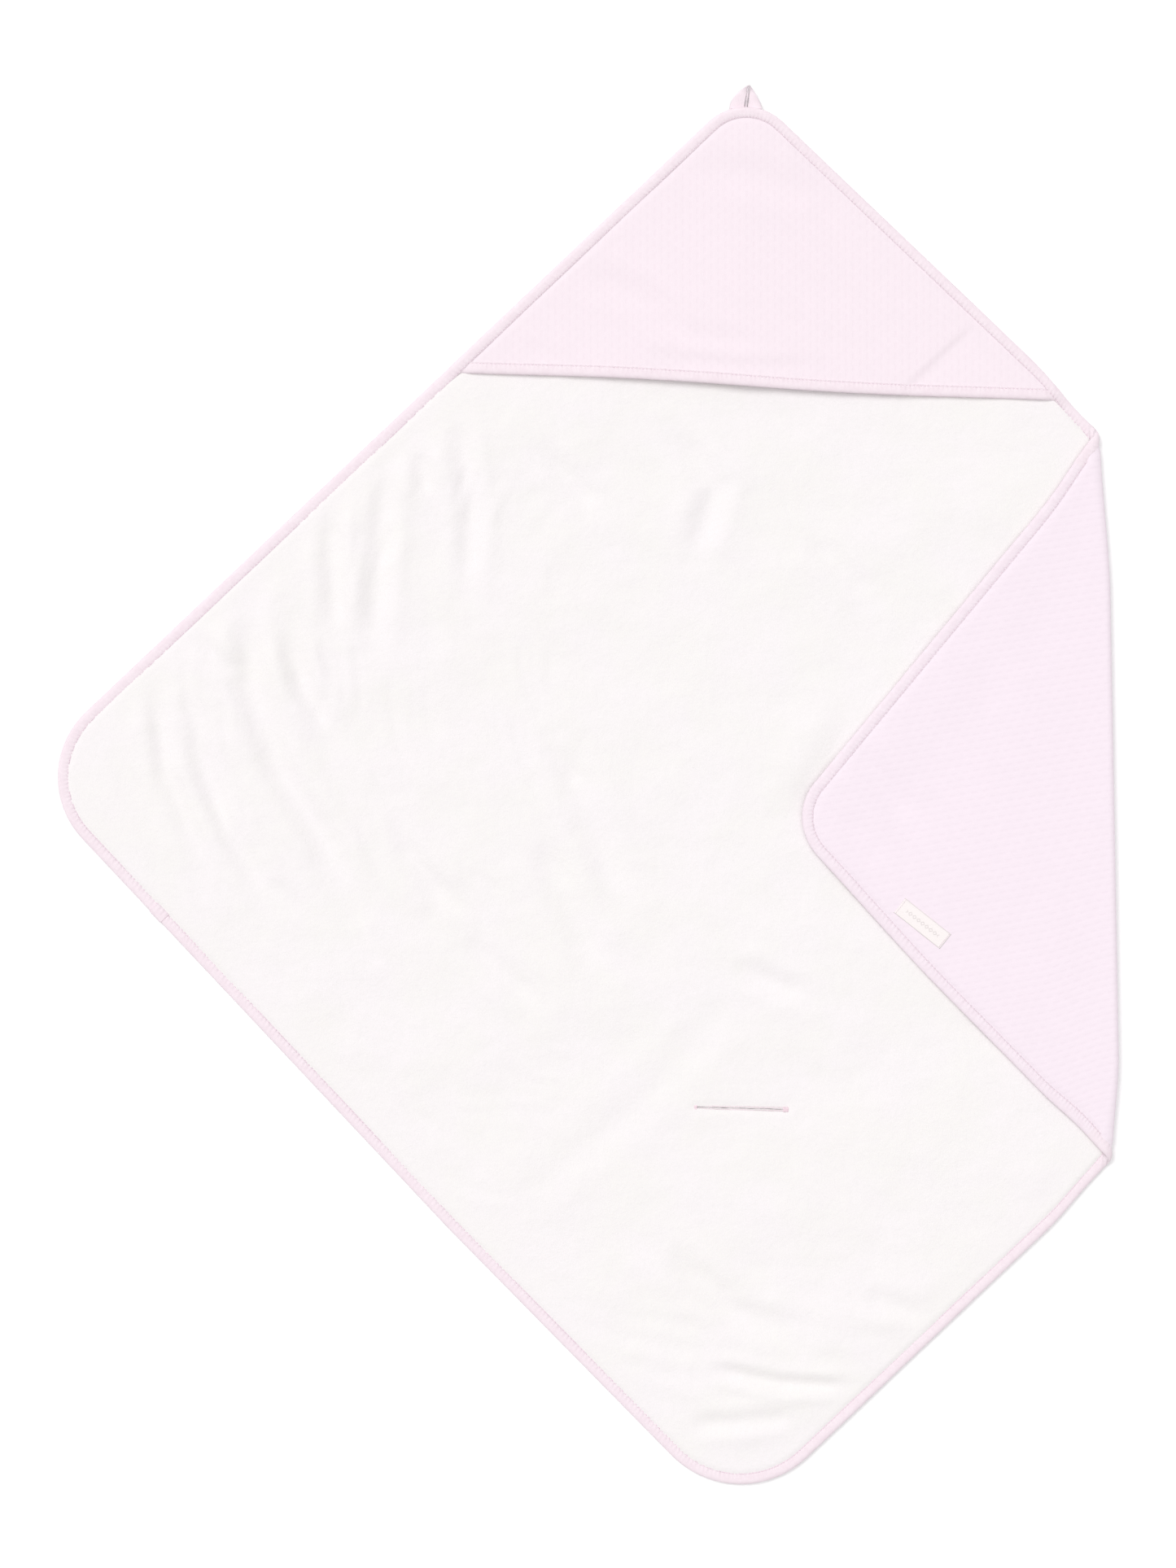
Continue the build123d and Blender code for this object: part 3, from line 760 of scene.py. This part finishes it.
# Each weave's second colour is its painted shade colour for the pinched dashes and low yarns.
OUTER = outer_finish("outer_fabric_weave", (0.889, 0.787, 0.856, 1), (0.872, 0.760, 0.838, 1), True)
HOOD_CLOTH = outer_finish("hood_fabric_weave", (0.889, 0.787, 0.840, 1), (0.875, 0.757, 0.82, 1), False)
TAPE = tape_finish()
TURNED_TAPE = tape_finish("turned_tape_weave", (0.883, 0.768, 0.836, 1), (0.903, 0.797, 0.862, 1))
SLOT_FACING = tape_finish("slot_facing_weave", (0.89, 0.82, 0.84, 1), (0.91, 0.85, 0.86, 1))
THREAD = thread_finish()
SLOT_THREAD = thread_finish("slot_thread_twist", (0.88, 0.72, 0.78, 1))
LABEL = label_finish()


# ---------------------------------------------------------------- the two layers of the sheet

# Widths of the band the lining and the outer cloth were to bend over at each fold; nothing reads them, and
# the bend_ helpers below only bake each piece in place. The right fold's band is counted in height over its
# roll.
LINING_BEND, OUTER_BEND = 0.3, 0.6


def bend_hood(piece):
    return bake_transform(piece)


def bend_left(piece):
    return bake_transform(piece)


def bend_foot(piece):
    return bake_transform(piece)


def bend_right(piece):
    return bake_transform(piece)


def rides_right(piece):
    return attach(piece, "right_corner")


def inside_rim(x, y):
    return edge_gap(x, y) > EDGE_TUCK


SLOT_TILT = -0.026
SLOT_HALF_LENGTH, SLOT_HALF_OPENING = 39.5, 1.1


def open_slot(bm):
    """Cuts the harness slot's long opening into the cloth."""
    across = Vector((-SLOT_TILT, 1.0, 0)).normalized()
    along = Vector((1.0, SLOT_TILT, 0)).normalized()
    middle = Vector((*OPENING, 0))
    for direction, half in ((across, SLOT_HALF_OPENING), (along, SLOT_HALF_LENGTH)):
        for distance in (half, -half):
            cut_line(bm, middle + direction * distance, direction, clear=False)
    in_slot = []
    for face in bm.faces:
        offset = face.calc_center_median() - middle
        if abs(offset.dot(across)) < SLOT_HALF_OPENING and abs(offset.dot(along)) < SLOT_HALF_LENGTH:
            in_slot.append(face)
    bmesh.ops.delete(bm, geom=in_slot, context="FACES")


def sheet_pieces(layer, height, material, upper):
    """One layer of the sheet in its five stretches, all laid with the right corner turned over."""
    across = Vector((1.0, -RIGHT_SLANT, 0)).normalized()
    left_of_roll = Vector((fold_x(0) - ROLL_REACH, 0, 0))
    right_of_roll = Vector((fold_x(0) + ROLL_REACH, 0, 0))
    middle = (MIDDLE_LOW, MIDDLE_HIGH)
    roll_cuts = [(left_of_roll, -across), (right_of_roll, across)]

    def stretch(name, x_range, y_range, cuts=(), finer=False, slotted=False):
        bm = flat_cloth(x_range, y_range)
        for point, normal in cuts:
            cut_line(bm, point, normal)
        if finer:
            level_edges = [e for e in bm.edges if abs(e.verts[0].co.y - e.verts[1].co.y) < 1e-4]
            bmesh.ops.subdivide_edges(bm, edges=level_edges, cuts=2, use_grid_fill=True)
        trim(bm, inside_rim)
        if slotted:
            open_slot(bm)
        return cloth_piece(f"{layer}_{name}", bm, height, material, upper)

    return {
        "top": stretch("hood_stretch", (-520, 470), (MIDDLE_HIGH, 605)),
        "middle": stretch("middle_stretch", (-520, 470), middle, [(left_of_roll, across)], slotted=True),
        "foot": stretch("foot_stretch", (-520, 520), (-620, MIDDLE_LOW)),
        "roll": stretch("roll", (400, 520), middle, roll_cuts, finer=True),
        "flap": stretch("flap", (460, 780), middle, [(right_of_roll, -across)]),
    }


lining = sheet_pieces("lining", lining_top, PLUSH, True)
outer = sheet_pieces("outer", outer_low, OUTER, False)
for part, reach in ((lining, LINING_BEND), (outer, OUTER_BEND)):
    bend_hood(part["top"])
    bend_left(part["middle"])
    bend_foot(part["foot"])
    bend_right(part["roll"])
    rides_right(part["flap"])
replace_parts(lining["top"], "hood_back_lining")
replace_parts(lining["middle"], "centre_lining", "left_lining")
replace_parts(lining["foot"], "foot_lining")
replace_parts(lining["flap"], "right_lining")
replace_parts(outer["top"], "hood_back_outer")
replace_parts(outer["middle"], "centre_outer", "left_outer")
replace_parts(outer["foot"], "foot_outer")
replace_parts(outer["flap"], "right_outer")


# ---------------------------------------------------------------- the edge binding

# Distances along the outline where its tape is split, and where the hem meets it.
S_TOP_LEFT = rim_distance_at(y=MIDDLE_HIGH, near=(-170, MIDDLE_HIGH))
S_LEFT_FOOT = rim_distance_at(y=MIDDLE_LOW, near=(-170, MIDDLE_LOW))
S_FOOT_RIGHT = rim_distance_at(y=MIDDLE_LOW, near=(460, MIDDLE_LOW))
LOW_FLAP_X, HIGH_FLAP_X = fold_x(-320) + ROLL_REACH, fold_x(300) + ROLL_REACH
S_LOW_FLAP = rim_distance_at(x=LOW_FLAP_X, near=(LOW_FLAP_X, -325))
S_HIGH_FLAP = rim_distance_at(x=HIGH_FLAP_X, near=(HIGH_FLAP_X, 290))
S_TOP_RIGHT = rim_distance_at(y=TOP_SPLIT, near=(455, TOP_SPLIT))
S_HEM_LEFT = rim_distance_at(x=HOOD_LEFT_END[0], near=HOOD_LEFT_END)
S_HEM_RIGHT = rim_distance_at(x=HOOD_RIGHT_END[0], near=HOOD_RIGHT_END)


def depth_share(s):
    """1 where the edge tape also grips the hood, easing to 0 below the hem."""
    s = np.where(s > RIM_LENGTH / 2, s - RIM_LENGTH, s)
    right_end = S_HEM_RIGHT - RIM_LENGTH
    return smooth((S_HEM_LEFT - s + 4) / 26) * smooth((s - right_end + 4) / 26)


def rim_line(inset):
    """A line that runs a set distance inside the outline."""
    def line(s):
        point, inward = rim(s)
        return point + inward * inset
    return line


binding_low = level(0.25)


def binding_high(s):
    wander = 0.18 * np.sin(s / 47.0) + 0.12 * np.sin(s / 19.0 + 1)
    off_flap = smooth(np.abs(s - S_LOW_FLAP) / 60) * smooth(np.abs(s - S_HIGH_FLAP) / 60)
    return 4.75 + 3.5 * depth_share(s) + wander * off_flap


def binding(name, start, end, material=TAPE):
    edges = rim_line(0.0), rim_line(TAPE_WIDTH)
    return tape_piece(name, start, end, *edges, binding_low, binding_high, material)


top_tape = bend_hood(binding("hood_edge_tape", S_TOP_RIGHT - RIM_LENGTH, S_TOP_LEFT))
left_tape = bend_left(binding("left_edge_tape", S_TOP_LEFT, S_LEFT_FOOT))
foot_tape = bend_foot(binding("foot_edge_tape", S_LEFT_FOOT, S_FOOT_RIGHT))
low_roll_tape = bend_right(binding("low_roll_tape", S_FOOT_RIGHT, S_LOW_FLAP))
flap_tape = rides_right(binding("right_edge_tape", S_LOW_FLAP, S_HIGH_FLAP, TURNED_TAPE))
high_roll_tape = bend_right(binding("high_roll_tape", S_HIGH_FLAP, S_TOP_RIGHT))
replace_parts(top_tape, "hood_edge_binding")
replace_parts(left_tape, "left_edge_binding", "centre_edge_binding")
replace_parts(foot_tape, "foot_edge_binding")
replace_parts(flap_tape, "right_edge_binding")

STITCH_PITCH = 3.3
STITCH_INSET = TAPE_WIDTH * SEAM_SHARE
STITCH_LIFT = 0.12
STITCH_AHEAD = 0.8


def edge_spots(start, end, side):
    """Where each stitch of the edge seam sits, on the tape's upper (side 1) or lower (side -1) face."""
    count = max(1, int((end - start) / STITCH_PITCH))
    s = start + (np.arange(count) + 0.5) * (end - start) / count
    rng = np.random.RandomState(int(abs(start)) + 7)
    s = s + rng.uniform(-0.2, 0.2, count)
    seam = rim_line(STITCH_INSET)

    def at(d):
        low, high = binding_low(d), binding_high(d)
        z = tape_height(np.full(d.shape, STITCH_INSET / TAPE_WIDTH), low, high, side, d) + side * STITCH_LIFT
        return np.stack(laid(*seam(d).T, z), -1)

    core = np.stack(laid(*seam(s).T, (binding_high(s) + binding_low(s)) / 2), -1)
    return [(p, q - p, p - c) for p, q, c in zip(at(s), at(s + STITCH_AHEAD), core)]


def edge_seam(name, start, end):
    return stitch_piece(name, edge_spots(start, end, 1) + edge_spots(start, end, -1), THREAD)


hood_seam = bend_hood(edge_seam("hood_edge_seam", S_TOP_RIGHT - RIM_LENGTH, S_TOP_LEFT))
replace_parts(hood_seam, "hood_edge_stitching")
left_seam = bend_left(edge_seam("left_edge_seam", S_TOP_LEFT, S_LEFT_FOOT))
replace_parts(left_seam, "left_edge_stitching", "centre_edge_stitching")
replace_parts(bend_foot(edge_seam("foot_edge_seam", S_LEFT_FOOT, S_FOOT_RIGHT)), "foot_edge_stitching")
bend_right(edge_seam("low_roll_seam", S_FOOT_RIGHT, S_LOW_FLAP))
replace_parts(rides_right(edge_seam("right_edge_seam", S_LOW_FLAP, S_HIGH_FLAP)), "right_edge_stitching")
bend_right(edge_seam("high_roll_seam", S_HIGH_FLAP, S_TOP_RIGHT))

# The lapped end of the tape, wrapped over its start.
lap_node = box_middle("left_edge_lap")
S_LAP = rim_distance_at(x=lap_node[0] - 3, near=lap_node[:2])
LAP_REACH = 7
lap_edges = rim_line(-0.7), rim_line(TAPE_WIDTH + 0.4)
lap = tape_piece("tape_lap", S_LAP - LAP_REACH, S_LAP + LAP_REACH, *lap_edges, level(0.0), level(5.35))
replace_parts(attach(lap, "left_corner"), "left_edge_lap")


# ---------------------------------------------------------------- the hood

HEM_SPAN = (12.0, HEM_LENGTH - 15.0)
HEM_TUCK = 4.5
HEM_THICK = 4.6
HEM_STITCH_INSET = 8.95
HOOD_THICK = 2.2


def in_hood(x, y):
    return inside_rim(x, y) & (above_hem(x, y) > HEM_TUCK)


def hood_piece(name, drop, material, upper):
    """One layer of the hood panel, set a little below the panel's upper surface."""
    def height(x, y):
        return hood_top(x, y) - drop

    bm = flat_cloth((-150, 460), (336, 606))
    trim(bm, in_hood)
    return cloth_piece(name, bm, height, material, upper, fold=False)


def on_hood(piece, *nodes):
    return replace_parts(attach(piece, "hood_corner"), *nodes)


hood_outer = hood_piece("hood_outer", 0.0, HOOD_CLOTH, True)
hood_lining = hood_piece("hood_lining", HOOD_THICK, PLUSH, False)
on_hood(hood_outer, "hood_panel_outer")
on_hood(hood_lining, "hood_panel_lining")


def hem_line(inset):
    """A line that runs a set distance above the hem's free edge."""
    def line(s):
        sway = hem_sway(s / HEM_LENGTH)
        return HOOD_LEFT_END + HEM_ALONG * s[:, None] + HEM_UP * (inset + sway)[:, None]
    return line


def hem_top(s):
    middle = hem_line(6.0)(s)
    tuck = 1 - smooth((s - HEM_SPAN[0]) / 22) * smooth((HEM_SPAN[1] - s) / 22)
    return hood_top(middle[:, 0], middle[:, 1]) + 0.9 - 1.2 * tuck


def hem_low(s):
    return hem_top(s) - HEM_THICK


hem_edges = hem_line(0.0), hem_line(TAPE_WIDTH)
hem_tape = tape_piece("hood_hem_tape", *HEM_SPAN, *hem_edges, hem_low, hem_top, fold=False)
on_hood(hem_tape, "hood_hem_binding")


def hem_spots():
    """Where each stitch of the hem's seam sits, on its upper and then its lower face."""
    spots = []
    margin = 7
    count = int((HEM_SPAN[1] - HEM_SPAN[0] - 2 * margin) / STITCH_PITCH)
    s = HEM_SPAN[0] + margin + np.arange(count) * STITCH_PITCH
    seam = hem_line(HEM_STITCH_INSET)
    here, ahead = seam(s), seam(s + STITCH_AHEAD)
    for side in (1, -1):
        for p, q, high, low in zip(here, ahead, hem_top(s), hem_low(s)):
            z = tape_height(SEAM_SHARE, low, high, side, 0.0) + side * STITCH_LIFT
            spots.append(((p[0], p[1], z), (q[0] - p[0], q[1] - p[1], 0), (0, 0, side)))
    return spots


on_hood(stitch_piece("hood_hem_seam", hem_spots(), THREAD), "hood_hem_stitching")


# ---------------------------------------------------------------- the hanging loop

LOOP_LOW, LOOP_HIGH = (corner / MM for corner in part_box("hanging_loop"))
LOOP_X, LOOP_Y, LOOP_Z = (LOOP_LOW.x + LOOP_HIGH.x) / 2, LOOP_LOW.y, (LOOP_LOW.z + LOOP_HIGH.z) / 2


def bow(points):
    """A smooth line through four control points, as a function of a 0 to 1 share."""
    a, b, c, d = (np.array(p, float) for p in points)

    def line(t):
        t = t[:, None]
        return a * (1 - t) ** 3 + 3 * b * t * (1 - t) ** 2 + 3 * c * t * t * (1 - t) + d * t ** 3
    return line


def loop_strip(name, outer_points, inner_points, rises, tilt, steps):
    """One strip of the loop's folded tape, between two bowed edges set out from the loop's foot."""
    foot = np.array([LOOP_X, LOOP_Y])
    edges = [bow([foot + np.array(p) for p in points]) for points in (outer_points, inner_points)]
    low, high = (LOOP_Z + rise for rise in rises)
    heights = (lambda t: low + tilt * t), (lambda t: high + tilt * t)
    piece = tape_piece(name, 0.0, 1.0, *edges, *heights, fold=False, steps=steps)
    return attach(piece, "hanging_loop")


left_leg = loop_strip(
    "loop_left_leg",
    [(-14.5, -2), (-14, 7), (-7.5, 13), (3.0, 19.7)],
    [(-1.5, -1), (-0.9, 5), (0.3, 11), (1.9, 18.0)],
    (-0.9, 0.9), 0.6, 26,
)
right_leg = loop_strip(
    "loop_right_leg",
    [(14.5, -2), (12.8, 5), (8.4, 12), (3.4, 19.7)],
    [(1.6, -1), (2.4, 5), (3.2, 11), (3.7, 17.6)],
    (-0.9, 0.9), 0.2, 26,
)
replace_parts(left_leg, "hanging_loop")
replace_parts(right_leg, "hanging_loop")
loop_strip(
    "loop_inner_fold",
    [(-0.8, -1), (-0.1, 5), (1.0, 11), (2.3, 18.4)],
    [(0.8, -1), (1.6, 5), (2.5, 11), (3.4, 18.4)],
    (-0.8, 0.95), 0.4, 16,
)


def tails_line(below):
    """A level line under the loop's foot."""
    return lambda s: np.stack([LOOP_X + s, np.full(s.shape, LOOP_Y - below)], -1)


tails_edges = tails_line(7.0), tails_line(1.5)
tails = tape_piece("loop_tails", -13.0, 13.0, *tails_edges, level(3.2), level(4.8), fold=False)
on_hood(tails, "hanging_loop_tails")


# ---------------------------------------------------------------- the harness slot

def slot_place(s, off):
    """The place a distance s along the finished slot and a distance off its middle line."""
    return OPENING[0] + s, OPENING[1] + SLOT_TILT * s + off


def slot_lip(name, side):
    """One soft stitched lip of the slot, above (side 1) or below (side -1) the opening."""
    def edge(gap, unevenness):
        def line(s):
            wander = 0.28 * np.sin(s / 3.7 + side) + 0.16 * np.sin(s / 1.3)
            away = gap + np.clip(wander, -0.02, 0.24) * unevenness
            return np.stack(slot_place(s, side * away), -1)
        return line

    def high(s):
        return 4.95 + 0.2 * np.sin(s / 5.0 + side)

    edges = edge(0.03, 0.7), edge(1.9, 0.3)
    return tape_piece(name, -40.0, 40.0, *edges, level(4.0), high, SLOT_FACING, fold=False, steps=70)


upper_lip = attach(slot_lip("slot_upper_lip", 1), "towel")
lower_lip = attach(slot_lip("slot_lower_lip", -1), "towel")
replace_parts(upper_lip, "slot_welt")
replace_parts(lower_lip, "slot_welt")


def slot_spots():
    """Whip stitches over both lips."""
    rng = np.random.RandomState(4)
    spots = []
    for side in (1, -1):
        for s in np.arange(-38.5, 39, 1.5):
            x, y = slot_place(s, side * (1.3 + rng.uniform(-0.12, 0.12)))
            lean = rng.uniform(0.1, 0.5)
            spots.append(((x, y, 4.85), (lean, side, 0.0), (0, 0, 1)))
    return spots


def tack_spots():
    """Two dense bars of thread that close the slot's ends."""
    spots = []
    for end, wide in ((-1, 3), (1, 5)):
        for k in range(wide):
            along = end * (38.8 + k * 0.95)
            for row in np.linspace(-1.5, 1.5, 4):
                x, y = slot_place(along, row)
                spots.append(((x, y, 5.15 - 0.05 * abs(row)), (0.12 * (-1) ** k, 1, 0), (0, 0, 1)))
    return spots


slot_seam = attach(stitch_piece("slot_whip_seam", slot_spots(), SLOT_THREAD, (0.85, 0.36, 0.28)), "towel")
slot_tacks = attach(stitch_piece("slot_end_tacks", tack_spots(), SLOT_THREAD, (1.0, 0.6, 0.5)), "towel")
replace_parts(slot_seam, "slot_stitching")
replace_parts(slot_tacks, "slot_bar_tacks")


# ---------------------------------------------------------------- the label

LABEL_MIDDLE = box_middle("woven_label")
LABEL_ANGLE = math.radians(-38.4)
LABEL_LONG, LABEL_WIDE, LABEL_THICK = 52.0, 16.5, 0.35
LABEL_LIFT = 0.02


def flap_height(x, y):
    """Height of the turned-over corner's upper surface at places on the laid towel."""
    co = places(outer["flap"].data) / MM
    near = co[(np.abs(co[:, :2] - LABEL_MIDDLE[:2]) < 45).all(1)]
    gap = (near[None, :, 0] - x[:, None]) ** 2 + (near[None, :, 1] - y[:, None]) ** 2
    weight = 1 / (gap + 1.0) ** 2
    return (weight * near[None, :, 2]).sum(1) / weight.sum(1)


def label_places(u, v):
    """Places on the laid towel from distances along and across the label."""
    c, s = math.cos(LABEL_ANGLE), math.sin(LABEL_ANGLE)
    return LABEL_MIDDLE[0] + c * u - s * v, LABEL_MIDDLE[1] + s * u + c * v


bm = bmesh.new()
bmesh.ops.create_grid(bm, x_segments=40, y_segments=14, size=0.5)
bmesh.ops.scale(bm, vec=(LABEL_LONG, LABEL_WIDE, 1), verts=bm.verts)
bmesh.ops.solidify(bm, geom=bm.faces[:], thickness=-LABEL_THICK)
bmesh.ops.recalc_face_normals(bm, faces=bm.faces)
label = finished("woven_ribbon_label", bm, LABEL)
flat = places(label.data)
u, v, w = flat.T
lx, ly = label_places(u, v)
sag = 0.12 * np.sin(u / 5.0) * smooth((np.abs(v) - 4) / 5)
bulge = 0.35 * np.exp(-(v / 7.0) ** 2) * np.cos(np.clip(u / 26.0, -1, 1) * math.pi / 2)
lz = flap_height(lx, ly) + LABEL_LIFT + (w - w.min()) + bulge + sag
reshape(label, np.stack([lx, ly, lz], -1), flat)
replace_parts(rides_right(label), "woven_label")


def label_spots():
    """Where the stitches at the label's two ends sit."""
    along = (-math.sin(LABEL_ANGLE), math.cos(LABEL_ANGLE), 0)
    spots = []
    for end in (-1, 1):
        for row in np.arange(-6.6, 6.8, 1.9):
            x, y = label_places(np.array([end * 24.4]), np.array([row]))
            z = flap_height(x, y)[0] + LABEL_THICK + 0.15
            spots.append(((x[0], y[0], z), along, (0, 0, 1)))
    return spots


label_seam = rides_right(stitch_piece("label_end_seams", label_spots(), THREAD, (0.75, 0.28, 0.2)))
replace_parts(label_seam, "woven_label_stitching")


# ---------------------------------------------------------------- what each cloth was cut to, worked out and not kept


def own_span(piece):
    """The piece's width, length and area as it was cut, from its flat places."""
    mesh = piece.data
    note = np.zeros(len(mesh.vertices) * 3)
    mesh.attributes["cloth"].data.foreach_get("vector", note)
    note = note.reshape(-1, 3)
    span = np.ptp(note[:, :2], axis=0)
    area = 0.0
    for face in mesh.polygons:
        ring = note[list(face.vertices), :2]
        nxt = np.roll(ring, -1, axis=0)
        area += abs((ring[:, 0] * nxt[:, 1] - nxt[:, 0] * ring[:, 1]).sum()) / 2
    return float(span[0]), float(span[1]), float(area)


def declare(piece):
    width, length, area = own_span(piece)


for part in (outer, lining):
    for key, piece in part.items():
        declare(piece)
for piece in (hood_outer, hood_lining):
    declare(piece)


# ---------------------------------------------------------------- the studio

FLOOR_REACH, FLOOR_DROP = 60.0, 0.0002
CAMERA_HEIGHT = 3.0
VIEW_WIDTH = 1.0497
SENSOR_WIDTH = 36.0
AIR_STRENGTH = 0.56

floor_bm = bmesh.new()
bmesh.ops.create_grid(floor_bm, x_segments=1, y_segments=1, size=FLOOR_REACH)
floor_mesh = bpy.data.meshes.new("floor")
floor_bm.to_mesh(floor_mesh)
floor_bm.free()
floor = bpy.data.objects.new("floor", floor_mesh)
floor.location.z = -FLOOR_DROP
bpy.context.scene.collection.objects.link(floor)
floor_finish = bpy.data.materials.new("floor_paper")
floor_finish.use_nodes = True
floor_shader = floor_finish.node_tree.nodes["Principled BSDF"]
floor_shader.inputs["Base Color"].default_value = (1, 1, 1, 1)
floor_shader.inputs["Roughness"].default_value = 1.0
floor_shader.inputs["Specular IOR Level"].default_value = 0.0
floor_mesh.materials.append(floor_finish)


def even_light(name, toward, strength, softness):
    """A far, soft light that reaches the whole towel alike; softness is its spread in degrees."""
    light = bpy.data.lights.new(name, "SUN")
    light.energy = strength
    light.angle = math.radians(softness)
    lamp = bpy.data.objects.new(name, light)
    lamp.location = toward
    lamp.rotation_euler = Vector(toward).to_track_quat("Z", "Y").to_euler()
    bpy.context.scene.collection.objects.link(lamp)


world = bpy.data.worlds.new("studio_air")
world.use_nodes = True
world.node_tree.nodes["Background"].inputs["Color"].default_value = (1, 1, 1, 1)
world.node_tree.nodes["Background"].inputs["Strength"].default_value = AIR_STRENGTH
bpy.context.scene.world = world
even_light("key_light", (-0.8, 0.85, 1.35), 1.38, 30)
even_light("top_light", (0.25, -0.1, 1.0), 0.66, 60)

camera_data = bpy.data.cameras.new("camera")
camera_data.sensor_fit = "HORIZONTAL"
camera_data.sensor_width = SENSOR_WIDTH
camera_data.lens = SENSOR_WIDTH * CAMERA_HEIGHT / VIEW_WIDTH
camera = bpy.data.objects.new("camera", camera_data)
camera.location = (0, 0, CAMERA_HEIGHT)
bpy.context.scene.collection.objects.link(camera)
bpy.context.scene.camera = camera
bpy.context.scene.view_settings.view_transform = "Standard"
